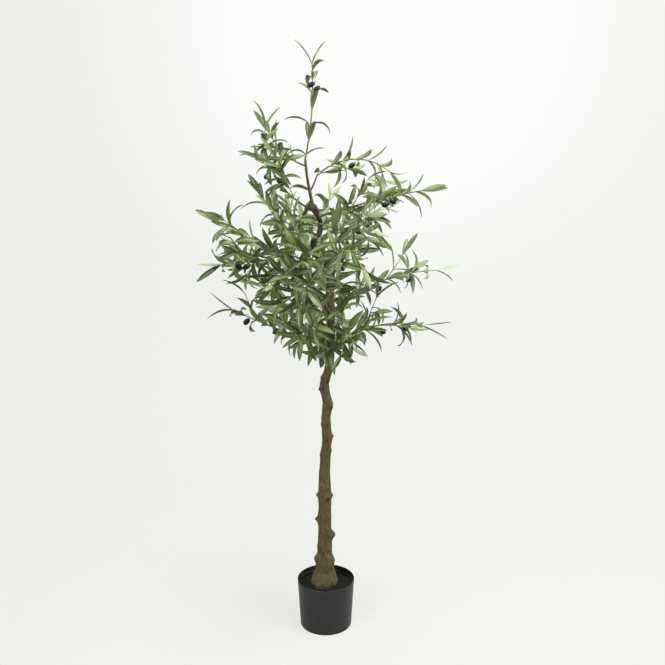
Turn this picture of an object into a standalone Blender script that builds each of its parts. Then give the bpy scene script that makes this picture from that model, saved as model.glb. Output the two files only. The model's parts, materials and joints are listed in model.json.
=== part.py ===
"""An artificial olive tree in a plain nursery pot, standing on the floor.

A moulded trunk stands on the cast fill of a tapered pot. Wired boughs leave the trunk, and each
carries a spray: one stem, side twigs, narrow leaves in crossed pairs, and hanging olives.
Lengths are in metres and angles in degrees. +Z is up, the front is at -Y, and the origin is the
middle of the pot's underside.
"""

import math
import random
from collections import namedtuple

import bmesh
import bpy
import numpy as np

# Pot and the fill cast in it
POT_HEIGHT = 0.156
POT_RIM_RADIUS = 0.090
POT_FOOT_RADIUS = 0.081
POT_WALL = 0.0025
POT_FLOOR = 0.004
POT_FOOT_ROUND = 0.003
POT_STEPS = 32
FILL_TOP = 0.1355

# Gap between pieces that touch
JOINT_GAP = 0.0003

# Trunk: height, how far it leans to the right and to the rear, and radius
TRUNK = (
    (FILL_TOP + JOINT_GAP, -0.005, 0.000, 0.0430),
    (0.148, -0.005, 0.000, 0.0420),
    (0.164, -0.0045, 0.000, 0.0370),
    (0.186, -0.0035, 0.001, 0.0295),
    (0.244, -0.0030, 0.002, 0.0225),
    (0.320, -0.003, 0.003, 0.0203),
    (0.404, -0.0035, 0.001, 0.0192),
    (0.470, -0.003, -0.001, 0.0186),
    (0.520, -0.0035, -0.002, 0.0163),
    (0.570, 0.000, -0.002, 0.0145),
    (0.618, 0.004, -0.001, 0.0141),
    (0.690, 0.001, 0.001, 0.0135),
    (0.736, 0.007, 0.002, 0.0150),
    (0.762, 0.001, 0.002, 0.0131),
    (0.797, -0.003, 0.001, 0.0130),
    (0.846, 0.010, -0.001, 0.0130),
    (0.887, 0.0145, -0.002, 0.0121),
    (0.980, 0.016, -0.001, 0.0116),
    (1.085, 0.015, 0.002, 0.0108),
    (1.127, 0.0085, 0.002, 0.0103),
    (1.160, -0.010, 0.001, 0.0098),
    (1.183, -0.0225, 0.000, 0.0094),
    (1.205, -0.031, -0.001, 0.0092),
    (1.220, -0.0345, 0.000, 0.0092),
    (1.233, -0.0335, 0.000, 0.0088),
    (1.246, -0.021, 0.001, 0.0080),
    (1.258, -0.0145, 0.001, 0.0070),
    (1.288, -0.0145, 0.001, 0.0066),
    (1.303, -0.022, 0.001, 0.0072),
    (1.316, -0.031, 0.001, 0.0094),
    (1.328, -0.036, 0.000, 0.0106),
    (1.336, -0.037, 0.000, 0.0085),
)
TRUNK_SIDES = 10

# Knots on the trunk: height, heading, and how far each stands out
KNOTS = (
    (0.222, 180, 0.0090),
    (0.218, 0, 0.0050),
    (0.303, 5, 0.0115),
    (0.355, 175, 0.0090),
    (0.437, -60, 0.0050),
    (0.630, 10, 0.0055),
    (0.780, 185, 0.0065),
    (0.818, 170, 0.0045),
    (1.020, -20, 0.0040),
)
KNOT_HEIGHT = 0.013
KNOT_SPREAD = 38
ROOT_LOBES = 5
ROOT_LOBE_DEPTH = 0.09
ROOT_LOBES_TOP = 0.190

# A limb leaves its parent at a place: a height on the trunk, or a share of another bough.
# It sets off at a heading and a rise, which change evenly by its sweep and its bend.
Bough = namedtuple("Bough", "parent place heading rise length bend sweep root_radius tip_radius")
BOUGHS = {
    "leader_bough": Bough("trunk", 1.322, -170, 75, 0.145, 11, 0, 0.0045, 0.0032),
    "upper_right_bough": Bough("leader_bough", 0.35, 15, 58, 0.050, 14, 0, 0.0034, 0.0028),
    "upper_left_bough": Bough("trunk", 1.316, -170, 24, 0.060, 15, 0, 0.0040, 0.0030),
    "shoulder_bough": Bough("trunk", 1.180, -152, 36, 0.060, 5, -1, 0.0055, 0.0042),
    "high_left_bough": Bough("trunk", 1.160, -159, 16, 0.075, 4, 1, 0.0050, 0.0038),
    "left_bough": Bough("trunk", 1.090, -156, 40, 0.090, -13, 2, 0.0055, 0.0040),
    "low_left_bough": Bough("trunk", 0.912, -162, 20, 0.075, 2, -1, 0.0055, 0.0040),
    "low_right_bough": Bough("trunk", 0.912, -6, 39, 0.060, -10, -2, 0.0055, 0.0040),
    "right_bough": Bough("trunk", 1.012, 40, 36, 0.080, -7, -9, 0.0055, 0.0040),
    "front_bough": Bough("trunk", 1.012, -119, 42, 0.150, -13, 11, 0.0065, 0.0045),
    "right_high_bough": Bough("trunk", 1.300, -6, 19, 0.050, -2, 0, 0.0042, 0.0032),
}
BOUGH_SIDES = 8
BOUGH_RINGS = 5
TIP = 1.0

# A spray's stem starts as a limb does. Bare is its length before the first leaves, twigs the
# number of its side twigs, and seed what its leaves are drawn by.
Spray = namedtuple("Spray", "parent place heading rise length bend sweep bare twigs seed")
SPRAYS = {
    "leader_spray": Spray("leader_bough", TIP, 30, 76, 0.265, 18, -6, 0.010, 0, 519),
    "upper_left_spray": Spray("upper_left_bough", TIP, -168, 36, 0.235, 61, 5, 0.010, 3, 708),
    "inner_left_spray": Spray("leader_bough", 0.860, 159, 17, 0.155, 43, -10, 0.030, 1, 156),
    "shoulder_spray": Spray("shoulder_bough", TIP, -151, 39, 0.205, 20, 0, 0.015, 2, 190),
    "high_left_spray": Spray("high_left_bough", TIP, -158, 18, 0.265, 15, 6, 0.020, 3, 91),
    "left_spray": Spray("left_bough", TIP, -153, 29, 0.275, -40, 3, 0.015, 4, 626),
    "low_left_spray": Spray("low_left_bough", TIP, -163, 22, 0.245, 5, -4, 0.010, 3, 72),
    "low_right_spray": Spray("low_right_bough", TIP, -8, 30, 0.235, -39, -7, 0.010, 3, 84),
    "right_spray": Spray("right_bough", TIP, 32, 26, 0.295, -24, -29, 0.015, 3, 340),
    "upper_right_spray": Spray("upper_right_bough", TIP, 21, 43, 0.250, -82, -3, 0.010, 3, 323),
    "right_high_spray": Spray("right_high_bough", TIP, -4, 17, 0.260, -7, 5, 0.010, 3, 626),
    "rear_right_spray": Spray("trunk", 1.215, 54, -9, 0.310, 54, -7, 0.050, 3, 820),
    "front_right_spray": Spray("trunk", 1.080, -81, 35, 0.340, 0, -12, 0.050, 3, 718),
    "front_spray": Spray("front_bough", TIP, -101, 25, 0.230, -28, 17, 0.010, 4, 808),
    "low_front_left_spray": Spray("trunk", 0.892, -113, 28, 0.300, -9, 12, 0.050, 4, 919),
    "low_front_right_spray": Spray("trunk", 0.898, -81, 24, 0.275, 8, 6, 0.050, 3, 617),
    "rear_left_spray": Spray("trunk", 1.010, 145, 7, 0.280, 11, -4, 0.050, 3, 44),
    "low_rear_spray": Spray("trunk", 0.930, 90, 17, 0.265, -9, 3, 0.050, 2, 57),
    "rear_spray": Spray("trunk", 1.100, 107, 8, 0.290, 25, -12, 0.050, 3, 582),
    "high_rear_spray": Spray("trunk", 1.250, 86, 13, 0.245, -3, 1, 0.050, 3, 49),
    "high_rear_left_spray": Spray("trunk", 1.190, 123, 15, 0.235, 4, -11, 0.050, 2, 82),
}

# Leaves and twigs
NODE_SPACING = 0.041
LEAF_LENGTH = 0.080
LEAF_WIDTH = 0.018
LEAF_THICKNESS = 0.0012
LEAF_SINK = 0.0008
LEAF_CURLS = (20, 45, 70, 95, 115)
LEAF_TWIST = 40
LEAF_OUTLINE = (0.15, 0.5, 0.78, 0.95, 1, 0.97, 0.8, 0.5, 0.06)
BLADE_BENDS = (3, 6)
LEAF_LENGTHS = (0.86, 1.12)
LEAF_WIDTHS = (0.88, 1.12)
LEAF_LIFT = (28, 52)
LEAF_SWING = 15
CURL_SPREAD = 8
END_LEAF_LIFT = (8, 26)
END_LEAF_CURL = (-12, 45)
TWIG_LENGTH = (0.085, 0.125)
TWIG_BARE = 0.036
TWIG_LEAN = (35, 50)
TWIG_BEND = (-20, 12)
TWIG_SWEEP = (-15, 15)
TWIG_SWING = 25
STEM_SIDES = 3
STEM_RADII = (0.0026, 0.0014)
TWIG_RADII = (0.0019, 0.0012)
END_SINK = 0.004
PATH_STEP = 0.0135

# A leaf or twig that has no room is drawn again, each time turned further and the leaf shorter
TRIES = 6
RETRY_SWING = 13
RETRY_SHRINK = 0.95

# How far a leaf may reach past the middle between two sprays, its least clearance, the share of
# its width that is measured, and the first points that lie too near its own stem to count
REACH_PAST = 0.020
CLEARANCE = 0.0012
MEASURED_WIDTH = 0.8
FREE_POINTS = 2
SEARCH_MARGIN = 0.012

# Olives: for each spray, the share of its stem and the heading that each hangs at
OLIVES = {
    "leader_spray": ((0.84, -105), (0.80, -30)),
    "upper_left_spray": ((0.40, 0), (0.48, -165), (0.62, 10)),
    "high_left_spray": ((0.76, 15), (0.70, -100)),
    "left_spray": ((0.76, 165), (0.72, -80)),
    "low_left_spray": ((0.84, -60), (0.48, 30)),
    "low_right_spray": ((0.76, 75), (0.44, -60)),
    "right_spray": ((0.32, -15), (0.68, -45)),
    "upper_right_spray": ((0.44, -45),),
    "right_high_spray": ((0.72, -180), (0.56, -60)),
    "rear_right_spray": ((0.84, -15), (0.72, -90)),
    "front_right_spray": ((0.56, 0), (0.72, 0)),
    "rear_left_spray": ((0.84, 15),),
    "high_rear_spray": ((0.92, -90), (0.50, 60)),
    "high_rear_left_spray": ((0.80, -165),),
    "rear_spray": ((0.60, 120),),
    "low_rear_spray": ((0.70, 60),),
}
OLIVE_LENGTH = 0.025
OLIVE_WIDTH = 0.018
OLIVE_SIDES = 5
OLIVE_RINGS = 4
STALK_RADIUS = 0.0009
STALK_OUT = 0.014
STALK_DROP = 0.016

# The level part of a unit vector under which it counts as upright
NEARLY_UPRIGHT = 0.15

Stem = namedtuple("Stem", "points directions sides radii")
Leaf = namedtuple("Leaf", "line normals edges half_widths")
Olive = namedtuple("Olive", "root middle")


def direction(heading, rise):
    """A unit vector from a heading, counted from +X to +Y, and a rise above level."""
    turn, lift = math.radians(heading), math.radians(rise)
    level = math.cos(lift)
    return np.array((level * math.cos(turn), level * math.sin(turn), math.sin(lift)))


def unit(vector):
    return vector / np.linalg.norm(vector)


def square_to(along):
    """A level unit vector at right angles to a direction."""
    across = np.cross(along, (0, 0, 1.0))
    if np.linalg.norm(across) < NEARLY_UPRIGHT:
        across = np.cross(along, (0, -1.0, 0))
    return unit(across)


def trunk_at(height):
    """The middle of the trunk and its radius at a height."""
    rows = np.array(TRUNK)
    x, y, radius = (np.interp(height, rows[:, 0], rows[:, column]) for column in (1, 2, 3))
    return np.array((x, y, height)), radius


def grow_stem(root, heading, rise, length, bend, sweep, radii):
    """A stem whose heading and rise change evenly from its root to its tip."""
    count = max(3, round(length / PATH_STEP))
    points = [np.array(root, float)]
    directions = [direction(heading, rise)]
    sides = [square_to(directions[0])]
    for step in range(count):
        middle, end = (step + 0.5) / count, (step + 1) / count
        points.append(points[-1] + direction(heading + sweep * middle, rise + bend * middle) * length / count)
        directions.append(direction(heading + sweep * end, rise + bend * end))
        sides.append(unit(sides[-1] - directions[-1] * np.dot(sides[-1], directions[-1])))
    return Stem(np.array(points), np.array(directions), np.array(sides), np.linspace(*radii, count + 1))


def stem_at(stem, share):
    """The point, direction and side of a stem at a share of its length."""
    place = min(max(share, 0.0), 1.0) * (len(stem.points) - 1)
    before = min(int(place), len(stem.points) - 2)
    part = place - before
    point, along, side = (
        rows[before] * (1 - part) + rows[before + 1] * part
        for rows in (stem.points, stem.directions, stem.sides)
    )
    along = unit(along)
    return point, along, unit(side - along * np.dot(side, along))


def capsules(points, radii):
    """A line as rows of start, end and radius, to measure clearances from."""
    return np.column_stack((points[:-1], points[1:], np.maximum(radii[:-1], radii[1:])))


def distances(points, rows):
    """The distance of each point from the middle line of each capsule."""
    start, run = rows[:, :3], rows[:, 3:6] - rows[:, :3]
    share = ((points[:, None] - start) * run).sum(-1) / np.maximum((run * run).sum(-1), 1e-12)
    nearest = start + np.clip(share, 0, 1)[..., None] * run
    return np.linalg.norm(nearest - points[:, None], axis=-1)


class Canopy:
    """All limbs, stems, twigs, leaves and olives, each kept only where it has room."""

    def __init__(self):
        heights, xs, ys, radii = np.array(TRUNK).T
        self.limbs = {}
        for name, row in BOUGHS.items():
            radii_of_bough = (row.root_radius, row.tip_radius)
            self.limbs[name] = grow_stem(self.place(row), *row[2:7], radii_of_bough)
        self.wood = [capsules(np.column_stack((xs, ys, heights)), radii)]
        self.wood += [capsules(limb.points, limb.radii) for limb in self.limbs.values()]
        self.mains = {
            name: grow_stem(self.place(row), *row[2:7], STEM_RADII) for name, row in SPRAYS.items()
        }
        self.olives = {name: [self.hang(name, *row) for row in OLIVES.get(name, ())] for name in SPRAYS}
        self.wood += [capsules(*olive_line(olive)) for name in SPRAYS for olive in self.olives[name]]
        self.stems, self.leaves = {}, {}
        for name in SPRAYS:
            self.grow_spray(name)

    def place(self, row):
        if row.parent == "trunk":
            return trunk_at(row.place)[0]
        return stem_at(self.limbs[row.parent], row.place)[0]

    def grow_spray(self, name):
        row = SPRAYS[name]
        main = self.mains[name]
        others = [capsules(stem.points, stem.radii) for key, stem in self.mains.items() if key != name]
        grown = [capsules(stem.points, stem.radii) for key in self.stems for stem in self.stems[key]]
        grown += [capsules(leaf.line, leaf.half_widths) for key in self.leaves for leaf in self.leaves[key]]
        self.taken = np.vstack(self.wood + others + grown)
        self.own_line = capsules(main.points, main.radii)
        self.other_lines = np.vstack(others)
        self.stems[name], self.leaves[name] = [main], []
        self.random = random.Random(row.seed)
        self.set_leaves(name, main, row.length, row.bare, row.twigs)

    def has_room(self, points, radii):
        """Whether a line keeps clear of all other pieces and stays in its spray's space."""
        low, high = points.min(0) - SEARCH_MARGIN, points.max(0) + SEARCH_MARGIN
        start, end, reach = self.taken[:, :3], self.taken[:, 3:6], self.taken[:, 6:]
        near = (np.minimum(start, end) - reach < high) & (np.maximum(start, end) + reach > low)
        rows = self.taken[near.all(1)]
        if len(rows) and (distances(points, rows) - rows[:, 6] - radii[:, None]).min() < CLEARANCE:
            return False
        own = distances(points, self.own_line).min(1)
        return bool((own < distances(points, self.other_lines).min(1) + REACH_PAST).all())

    def set_leaves(self, name, stem, length, bare, twigs):
        """Crossed pairs of leaves along a stem, with a twig in place of a leaf at some nodes."""
        pairs = max(1, round((length - bare) / NODE_SPACING))
        twig_nodes = self.random.sample(range(pairs), min(twigs, pairs)) if twigs else ()
        first_roll = self.random.uniform(0, 180)
        for pair in range(pairs + 1):
            share = min(bare + (length - bare) * pair / pairs, length - END_SINK) / length
            spot = stem_at(stem, share)
            roll = first_roll + 90 * pair
            for turn in (0, 180):
                if turn == 0 and pair in twig_nodes and self.set_twig(name, spot, roll):
                    continue
                self.set_leaf(name, spot, roll + turn, pair == pairs)

    def outward(self, spot, roll, swing):
        """A direction square to a stem, near a roll about it."""
        _, along, side = spot
        turn = math.radians(roll + self.random.uniform(-swing, swing))
        return side * math.cos(turn) + np.cross(side, along) * math.sin(turn)

    def set_twig(self, name, spot, roll):
        for attempt in range(TRIES):
            out = self.outward(spot, roll, TWIG_SWING + RETRY_SWING * attempt)
            lean = math.radians(self.random.uniform(*TWIG_LEAN))
            set_off = spot[1] * math.cos(lean) + out * math.sin(lean)
            length = self.random.uniform(*TWIG_LENGTH)
            heading = math.degrees(math.atan2(set_off[1], set_off[0]))
            rise = math.degrees(math.asin(set_off[2]))
            bend, sweep = self.random.uniform(*TWIG_BEND), self.random.uniform(*TWIG_SWEEP)
            twig = grow_stem(spot[0], heading, rise, length, bend, sweep, TWIG_RADII)
            if self.has_room(twig.points[FREE_POINTS:], twig.radii[FREE_POINTS:]):
                self.stems[name].append(twig)
                self.set_leaves(name, twig, length, TWIG_BARE, 0)
                return True
        return False

    def set_leaf(self, name, spot, roll, last):
        for attempt in range(TRIES):
            out = self.outward(spot, roll, LEAF_SWING + RETRY_SWING * attempt)
            length = LEAF_LENGTH * self.random.uniform(*LEAF_LENGTHS) * RETRY_SHRINK**attempt
            width = LEAF_WIDTH * self.random.uniform(*LEAF_WIDTHS)
            if last:
                lift, curl = self.random.uniform(*END_LEAF_LIFT), self.random.uniform(*END_LEAF_CURL)
            else:
                lift = self.random.uniform(*LEAF_LIFT)
                curl = self.random.choice(LEAF_CURLS) + self.random.uniform(-CURL_SPREAD, CURL_SPREAD)
            twist = self.random.uniform(-LEAF_TWIST, LEAF_TWIST)
            leaf = make_leaf(spot[0], spot[1], out, length, width, lift, curl, twist)
            if self.has_room(leaf.line[FREE_POINTS:], leaf.half_widths[FREE_POINTS:] * MEASURED_WIDTH):
                self.leaves[name].append(leaf)
                return

    def hang(self, name, share, heading):
        """An olive that hangs beside its stem, on a stalk that leans out and droops."""
        root = stem_at(self.mains[name], share)[0]
        return Olive(root, root + direction(heading, 0) * STALK_OUT - np.array((0, 0, STALK_DROP)))


def olive_line(olive):
    """The line through an olive from top to bottom, with its radius, to measure clearances from."""
    half = np.array((0, 0, OLIVE_LENGTH / 2 - OLIVE_WIDTH / 3))
    return np.array((olive.middle + half, olive.middle - half)), np.full(2, OLIVE_WIDTH / 2)


def make_leaf(root, along, out, length, width, lift, curl, twist):
    """A leaf that lifts off its stem at an angle, then curls outwards and twists to its tip."""
    steps = len(LEAF_OUTLINE) - 1
    level = np.cross(along, out)
    first = math.radians(lift)
    line = [root - (along * math.cos(first) + out * math.sin(first)) * LEAF_SINK]
    normals, edges = [], []
    for step in range(steps + 1):
        angle = math.radians(lift + curl * step / steps)
        turn = math.radians(twist * step / steps)
        hollow = out * math.cos(angle) - along * math.sin(angle)
        normals.append(hollow * math.cos(turn) - level * math.sin(turn))
        edges.append(level * math.cos(turn) + hollow * math.sin(turn))
        middle = math.radians(lift + curl * (step + 0.5) / steps)
        line.append(line[-1] + (along * math.cos(middle) + out * math.sin(middle)) * length / steps)
    half_widths = np.array(LEAF_OUTLINE) * width / 2
    return Leaf(np.array(line[:-1]), np.array(normals), np.array(edges), half_widths)


def mesh_object(name, bm, material):
    """A named object from a bmesh, its faces turned outwards."""
    bmesh.ops.recalc_face_normals(bm, faces=bm.faces)
    mesh = bpy.data.meshes.new(name)
    bm.to_mesh(mesh)
    bm.free()
    mesh.materials.append(material)
    made = bpy.data.objects.new(name, mesh)
    bpy.context.scene.collection.objects.link(made)
    return made


def lathe(name, profile, steps, material):
    """A solid of revolution from rows of radius and height that start and end on the axis."""
    bm = bmesh.new()
    verts = [bm.verts.new((radius, 0, height)) for radius, height in profile]
    edges = [bm.edges.new(pair) for pair in zip(verts, verts[1:])]
    full_turn = {"cent": (0, 0, 0), "axis": (0, 0, 1), "angle": math.tau, "steps": steps}
    bmesh.ops.spin(bm, geom=verts + edges, use_duplicate=False, **full_turn)
    bmesh.ops.remove_doubles(bm, verts=bm.verts, dist=1e-6)
    return mesh_object(name, bm, material)


def skin(name, rings, material):
    """A closed solid through rings of equal numbers of points, with flat ends."""
    bm = bmesh.new()
    loops = [[bm.verts.new(point) for point in ring] for ring in rings]
    for lower, upper in zip(loops, loops[1:]):
        for corner in range(len(lower)):
            following = (corner + 1) % len(lower)
            bm.faces.new((lower[corner], lower[following], upper[following], upper[corner]))
    bm.faces.new(loops[0][::-1])
    bm.faces.new(loops[-1])
    return mesh_object(name, bm, material)


def ring(middle, along, side, radius, sides):
    """The points of a regular polygon square to a direction."""
    other = np.cross(along, side)
    turns = [math.tau * corner / sides for corner in range(sides)]
    return [middle + (side * math.cos(turn) + other * math.sin(turn)) * radius for turn in turns]


def tube(name, stem, shares, sides, material, extra=0.0):
    """A tapering limb with rings at the given shares of its length, or one larger by the extra."""
    rings = []
    for share in shares:
        middle, along, side = stem_at(stem, share)
        radius = np.interp(share, (0, 1), (stem.radii[0], stem.radii[-1])) + extra
        rings.append(ring(middle + along * extra * share, along, side, radius, sides))
    return skin(name, rings, material)


def trunk_radius(height, heading):
    """The trunk's radius at a height and heading, with its root lobes and knots."""
    radius = trunk_at(height)[1]
    above = np.interp(height, (TRUNK[0][0], ROOT_LOBES_TOP), (1, 0))
    radius *= 1 + ROOT_LOBE_DEPTH * above * math.cos(math.radians(ROOT_LOBES * heading))
    for knot_height, knot_heading, stands_out in KNOTS:
        away = (heading - knot_heading + 180) % 360 - 180
        distance = math.hypot((height - knot_height) / KNOT_HEIGHT, away / KNOT_SPREAD)
        radius += stands_out * math.exp(-distance * distance)
    return radius


def trunk(name, material, extra=0.0):
    heights = sorted([row[0] for row in TRUNK] + [knot[0] for knot in KNOTS])
    rings = []
    for height in heights:
        middle = trunk_at(height)[0]
        headings = [360 * corner / TRUNK_SIDES for corner in range(TRUNK_SIDES)]
        rings.append([middle + direction(h, 0) * (trunk_radius(height, h) + extra) for h in headings])
    return skin(name, rings, material)


def blade(leaf, material):
    """A leaf's solid: six corners bent at two places, and a keel on the hollow side."""
    lower, upper = BLADE_BENDS
    bm = bmesh.new()
    root, tip = bm.verts.new(leaf.line[0]), bm.verts.new(leaf.line[-1])
    corners = {}
    for station in (lower, upper):
        for hand in (-1, 1):
            reach = leaf.edges[station] * leaf.half_widths[station] * hand
            corners[station, hand] = bm.verts.new(leaf.line[station] + reach)
    hollow = leaf.normals[(lower + upper) // 2]
    if np.dot(hollow, leaf.line[-1] - leaf.line[lower]) < np.dot(hollow, leaf.line[lower] - leaf.line[0]):
        hollow = -hollow
    keel = bm.verts.new((leaf.line[lower] + leaf.line[upper]) / 2 + hollow * LEAF_THICKNESS)
    left_low, right_low = corners[lower, -1], corners[lower, 1]
    left_high, right_high = corners[upper, -1], corners[upper, 1]
    rim = (root, right_low, right_high, tip, left_high, left_low)
    bm.faces.new((root, left_low, right_low))
    bm.faces.new((left_low, left_high, right_low))
    bm.faces.new((left_high, right_high, right_low))
    bm.faces.new((left_high, tip, right_high))
    for corner, following in zip(rim, rim[1:] + rim[:1]):
        bm.faces.new((corner, following, keel))
    return mesh_object("blade", bm, material)


def olive_pieces(olive, material):
    """An olive and its stalk."""
    bm = bmesh.new()
    bmesh.ops.create_uvsphere(bm, u_segments=OLIVE_SIDES, v_segments=OLIVE_RINGS, radius=1)
    bmesh.ops.scale(bm, vec=(OLIVE_WIDTH / 2, OLIVE_WIDTH / 2, OLIVE_LENGTH / 2), verts=bm.verts)
    bmesh.ops.translate(bm, vec=olive.middle, verts=bm.verts)
    fruit = mesh_object("olive", bm, material)
    along = unit(olive.middle - olive.root)
    side = square_to(along)
    ends = (olive.root - along * LEAF_SINK, olive.middle)
    stalk = skin("stalk", [ring(end, along, side, STALK_RADIUS, STEM_SIDES) for end in ends], material)
    return [fruit, stalk]


def finish(name, colour, roughness):
    """A plain material of one colour, given as linear red, green and blue."""
    material = bpy.data.materials.new(name)
    material.use_nodes = True
    shader = material.node_tree.nodes["Principled BSDF"]
    shader.inputs["Base Color"].default_value = (*colour, 1)
    shader.inputs["Roughness"].default_value = roughness
    shader.inputs["Metallic"].default_value = 0
    material.diffuse_color = (*colour, 1)
    return material


def select_only(made):
    bpy.ops.object.select_all(action="DESELECT")
    made.select_set(True)
    bpy.context.view_layer.objects.active = made


def cut_clear(made, cutter):
    """Cuts a limb's root off where it would run into its parent."""
    cut = made.modifiers.new("clear of parent", "BOOLEAN")
    cut.operation = "DIFFERENCE"
    cut.solver = "MANIFOLD"
    cut.object = cutter
    select_only(made)
    bpy.ops.object.modifier_apply(modifier=cut.name)


def fuse(made, pieces):
    """Joins all pieces to the first solid and removes them."""
    group = bpy.data.collections.new("pieces")
    bpy.context.scene.collection.children.link(group)
    for piece in pieces:
        bpy.context.scene.collection.objects.unlink(piece)
        group.objects.link(piece)
    union = made.modifiers.new("one solid", "BOOLEAN")
    union.operation = "UNION"
    union.solver = "MANIFOLD"
    union.operand_type = "COLLECTION"
    union.collection = group
    select_only(made)
    bpy.ops.object.modifier_apply(modifier=union.name)
    for piece in pieces:
        bpy.data.objects.remove(piece)
    bpy.data.collections.remove(group)


def keep_largest(made):
    """Drops any scrap that isn't joined to the main body."""
    bm = bmesh.new()
    bm.from_mesh(made.data)
    left = set(bm.verts)
    islands = []
    while left:
        island, edge = set(), [next(iter(left))]
        while edge:
            vert = edge.pop()
            if vert in left:
                left.remove(vert)
                island.add(vert)
                edge += [link.other_vert(vert) for link in vert.link_edges]
        islands.append(island)
    islands.sort(key=len)
    scraps = [vert for island in islands[:-1] for vert in island]
    bmesh.ops.delete(bm, geom=scraps, context="VERTS")
    bm.to_mesh(made.data)
    bm.free()


def pot(material):
    rim = POT_RIM_RADIUS
    foot = POT_FOOT_RADIUS
    slope = (rim - foot) / POT_HEIGHT
    inner_foot = foot + slope * POT_FLOOR - POT_WALL
    profile = (
        (0, 0),
        (foot - POT_FOOT_ROUND, 0),
        (foot - POT_FOOT_ROUND * 0.3, POT_FOOT_ROUND * 0.3),
        (foot + slope * POT_FOOT_ROUND, POT_FOOT_ROUND),
        (rim, POT_HEIGHT),
        (rim - POT_WALL, POT_HEIGHT),
        (inner_foot, POT_FLOOR),
        (0, POT_FLOOR),
    )
    return lathe("pot", profile, POT_STEPS, material)


def pot_fill(material):
    slope = (POT_RIM_RADIUS - POT_FOOT_RADIUS) / POT_HEIGHT
    bottom = POT_FLOOR + JOINT_GAP
    inner = POT_FOOT_RADIUS - POT_WALL - JOINT_GAP * 1.5
    profile = (
        (0, bottom),
        (inner + slope * bottom, bottom),
        (inner + slope * FILL_TOP, FILL_TOP),
        (0, FILL_TOP),
    )
    return lathe("pot_fill", profile, POT_STEPS, material)


def spray(name, crown, material, parents):
    """One mass of foliage, fused, and cut clear of the limb that it grows from."""
    row = SPRAYS[name]
    main, *twigs = crown.stems[name]
    pieces = [tube(name, main, ring_shares(main, row.bare), STEM_SIDES, material)]
    pieces += [tube("twig", twig, ring_shares(twig, TWIG_BARE), STEM_SIDES, material) for twig in twigs]
    pieces += [blade(leaf, material) for leaf in crown.leaves[name]]
    for olive in crown.olives[name]:
        pieces += olive_pieces(olive, material)
    made = pieces[0]
    fuse(made, pieces[1:])
    cut_clear(made, parents[row.parent])
    keep_largest(made)
    return made


def ring_shares(stem, bare):
    """Where a stem's rings go: its root, each pair of leaves, and its tip."""
    length = np.linalg.norm(np.diff(stem.points, axis=0), axis=1).sum()
    pairs = max(1, round((length - bare) / NODE_SPACING))
    spots = [bare + (length - bare) * pair / pairs for pair in range(pairs + 1)]
    return [0] + [spot / length for spot in spots]


def main():
    for old in list(bpy.data.objects):
        bpy.data.objects.remove(old)
    crown = Canopy()
    bark = finish("moulded bark", (0.080, 0.057, 0.030), 0.8)
    foliage = finish("printed polyester leaf", (0.070, 0.120, 0.035), 0.55)
    pot(finish("black nursery pot plastic", (0.035, 0.038, 0.036), 0.45))
    pot_fill(finish("dark cast fill", (0.010, 0.009, 0.008), 0.95))
    trunk("trunk", bark)
    parents = {"trunk": trunk("trunk_cutter", bark, JOINT_GAP)}
    shares = [step / BOUGH_RINGS for step in range(BOUGH_RINGS + 1)]
    for name, row in BOUGHS.items():
        made = tube(name, crown.limbs[name], shares, BOUGH_SIDES, bark)
        cut_clear(made, parents[row.parent])
        parents[name] = tube(name + "_cutter", crown.limbs[name], shares, BOUGH_SIDES, bark, JOINT_GAP)
    for name in SPRAYS:
        spray(name, crown, foliage, parents)
    for cutter in parents.values():
        bpy.data.objects.remove(cutter)


main()
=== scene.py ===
"""An artificial olive tree in a nursery pot: the finish of every surface.

The trunk and boughs get their bark, the pot its moulded rim and ledge, and each mass of foliage its
stems, leaves and olives. Stems and leaves grow by the same seeded rule as the solids, then carry on to
finer twigs. Lengths are in metres and angles in degrees. +Z is up and the front is at -Y.
"""

import json
import math
import random
from collections import namedtuple

import bpy
import numpy as np
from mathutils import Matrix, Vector, noise

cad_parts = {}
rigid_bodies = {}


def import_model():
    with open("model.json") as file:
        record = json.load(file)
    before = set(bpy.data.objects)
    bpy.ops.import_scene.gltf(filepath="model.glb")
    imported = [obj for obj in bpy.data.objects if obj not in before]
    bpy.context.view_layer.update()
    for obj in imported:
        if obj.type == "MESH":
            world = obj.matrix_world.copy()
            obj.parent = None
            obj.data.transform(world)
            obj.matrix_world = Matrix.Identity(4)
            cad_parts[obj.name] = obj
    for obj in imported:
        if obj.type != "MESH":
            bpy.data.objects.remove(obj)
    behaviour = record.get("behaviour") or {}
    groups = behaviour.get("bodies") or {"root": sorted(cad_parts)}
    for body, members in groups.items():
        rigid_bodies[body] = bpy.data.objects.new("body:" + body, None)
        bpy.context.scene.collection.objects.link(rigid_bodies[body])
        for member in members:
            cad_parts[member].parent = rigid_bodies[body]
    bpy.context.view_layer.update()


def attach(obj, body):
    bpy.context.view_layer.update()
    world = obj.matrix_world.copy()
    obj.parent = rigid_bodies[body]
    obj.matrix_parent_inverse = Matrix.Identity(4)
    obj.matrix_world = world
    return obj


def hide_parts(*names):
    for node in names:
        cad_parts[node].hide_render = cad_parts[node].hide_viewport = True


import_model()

# Pot: a tapered wall with a thin rim, drawn through these heights outside and inside
POT_HEIGHT = 0.156
POT_RIM_RADIUS = 0.090
POT_FOOT_RADIUS = 0.081
POT_WALL = 0.0025
POT_FLOOR = 0.004
POT_FOOT_ROUND = 0.003
POT_SIDES = 144
POT_EDGE_ANGLE = 32
RIM_WALL = 0.0016
OUTER_HEIGHTS = (0.03, 0.06, 0.09, 0.12, 0.145)
INNER_HEIGHTS = (0.12, 0.06, POT_FLOOR)
# The round corners of foot and rim: first angle, last angle and steps
FOOT_ARC = (-90, 0, 6)
RIM_ARC = (10, 170, 8)
# The disc that a turned solid starts with, and the gap between solids
DISC_RADIUS = 0.02
JOINT_GAP = 0.0003
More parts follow.
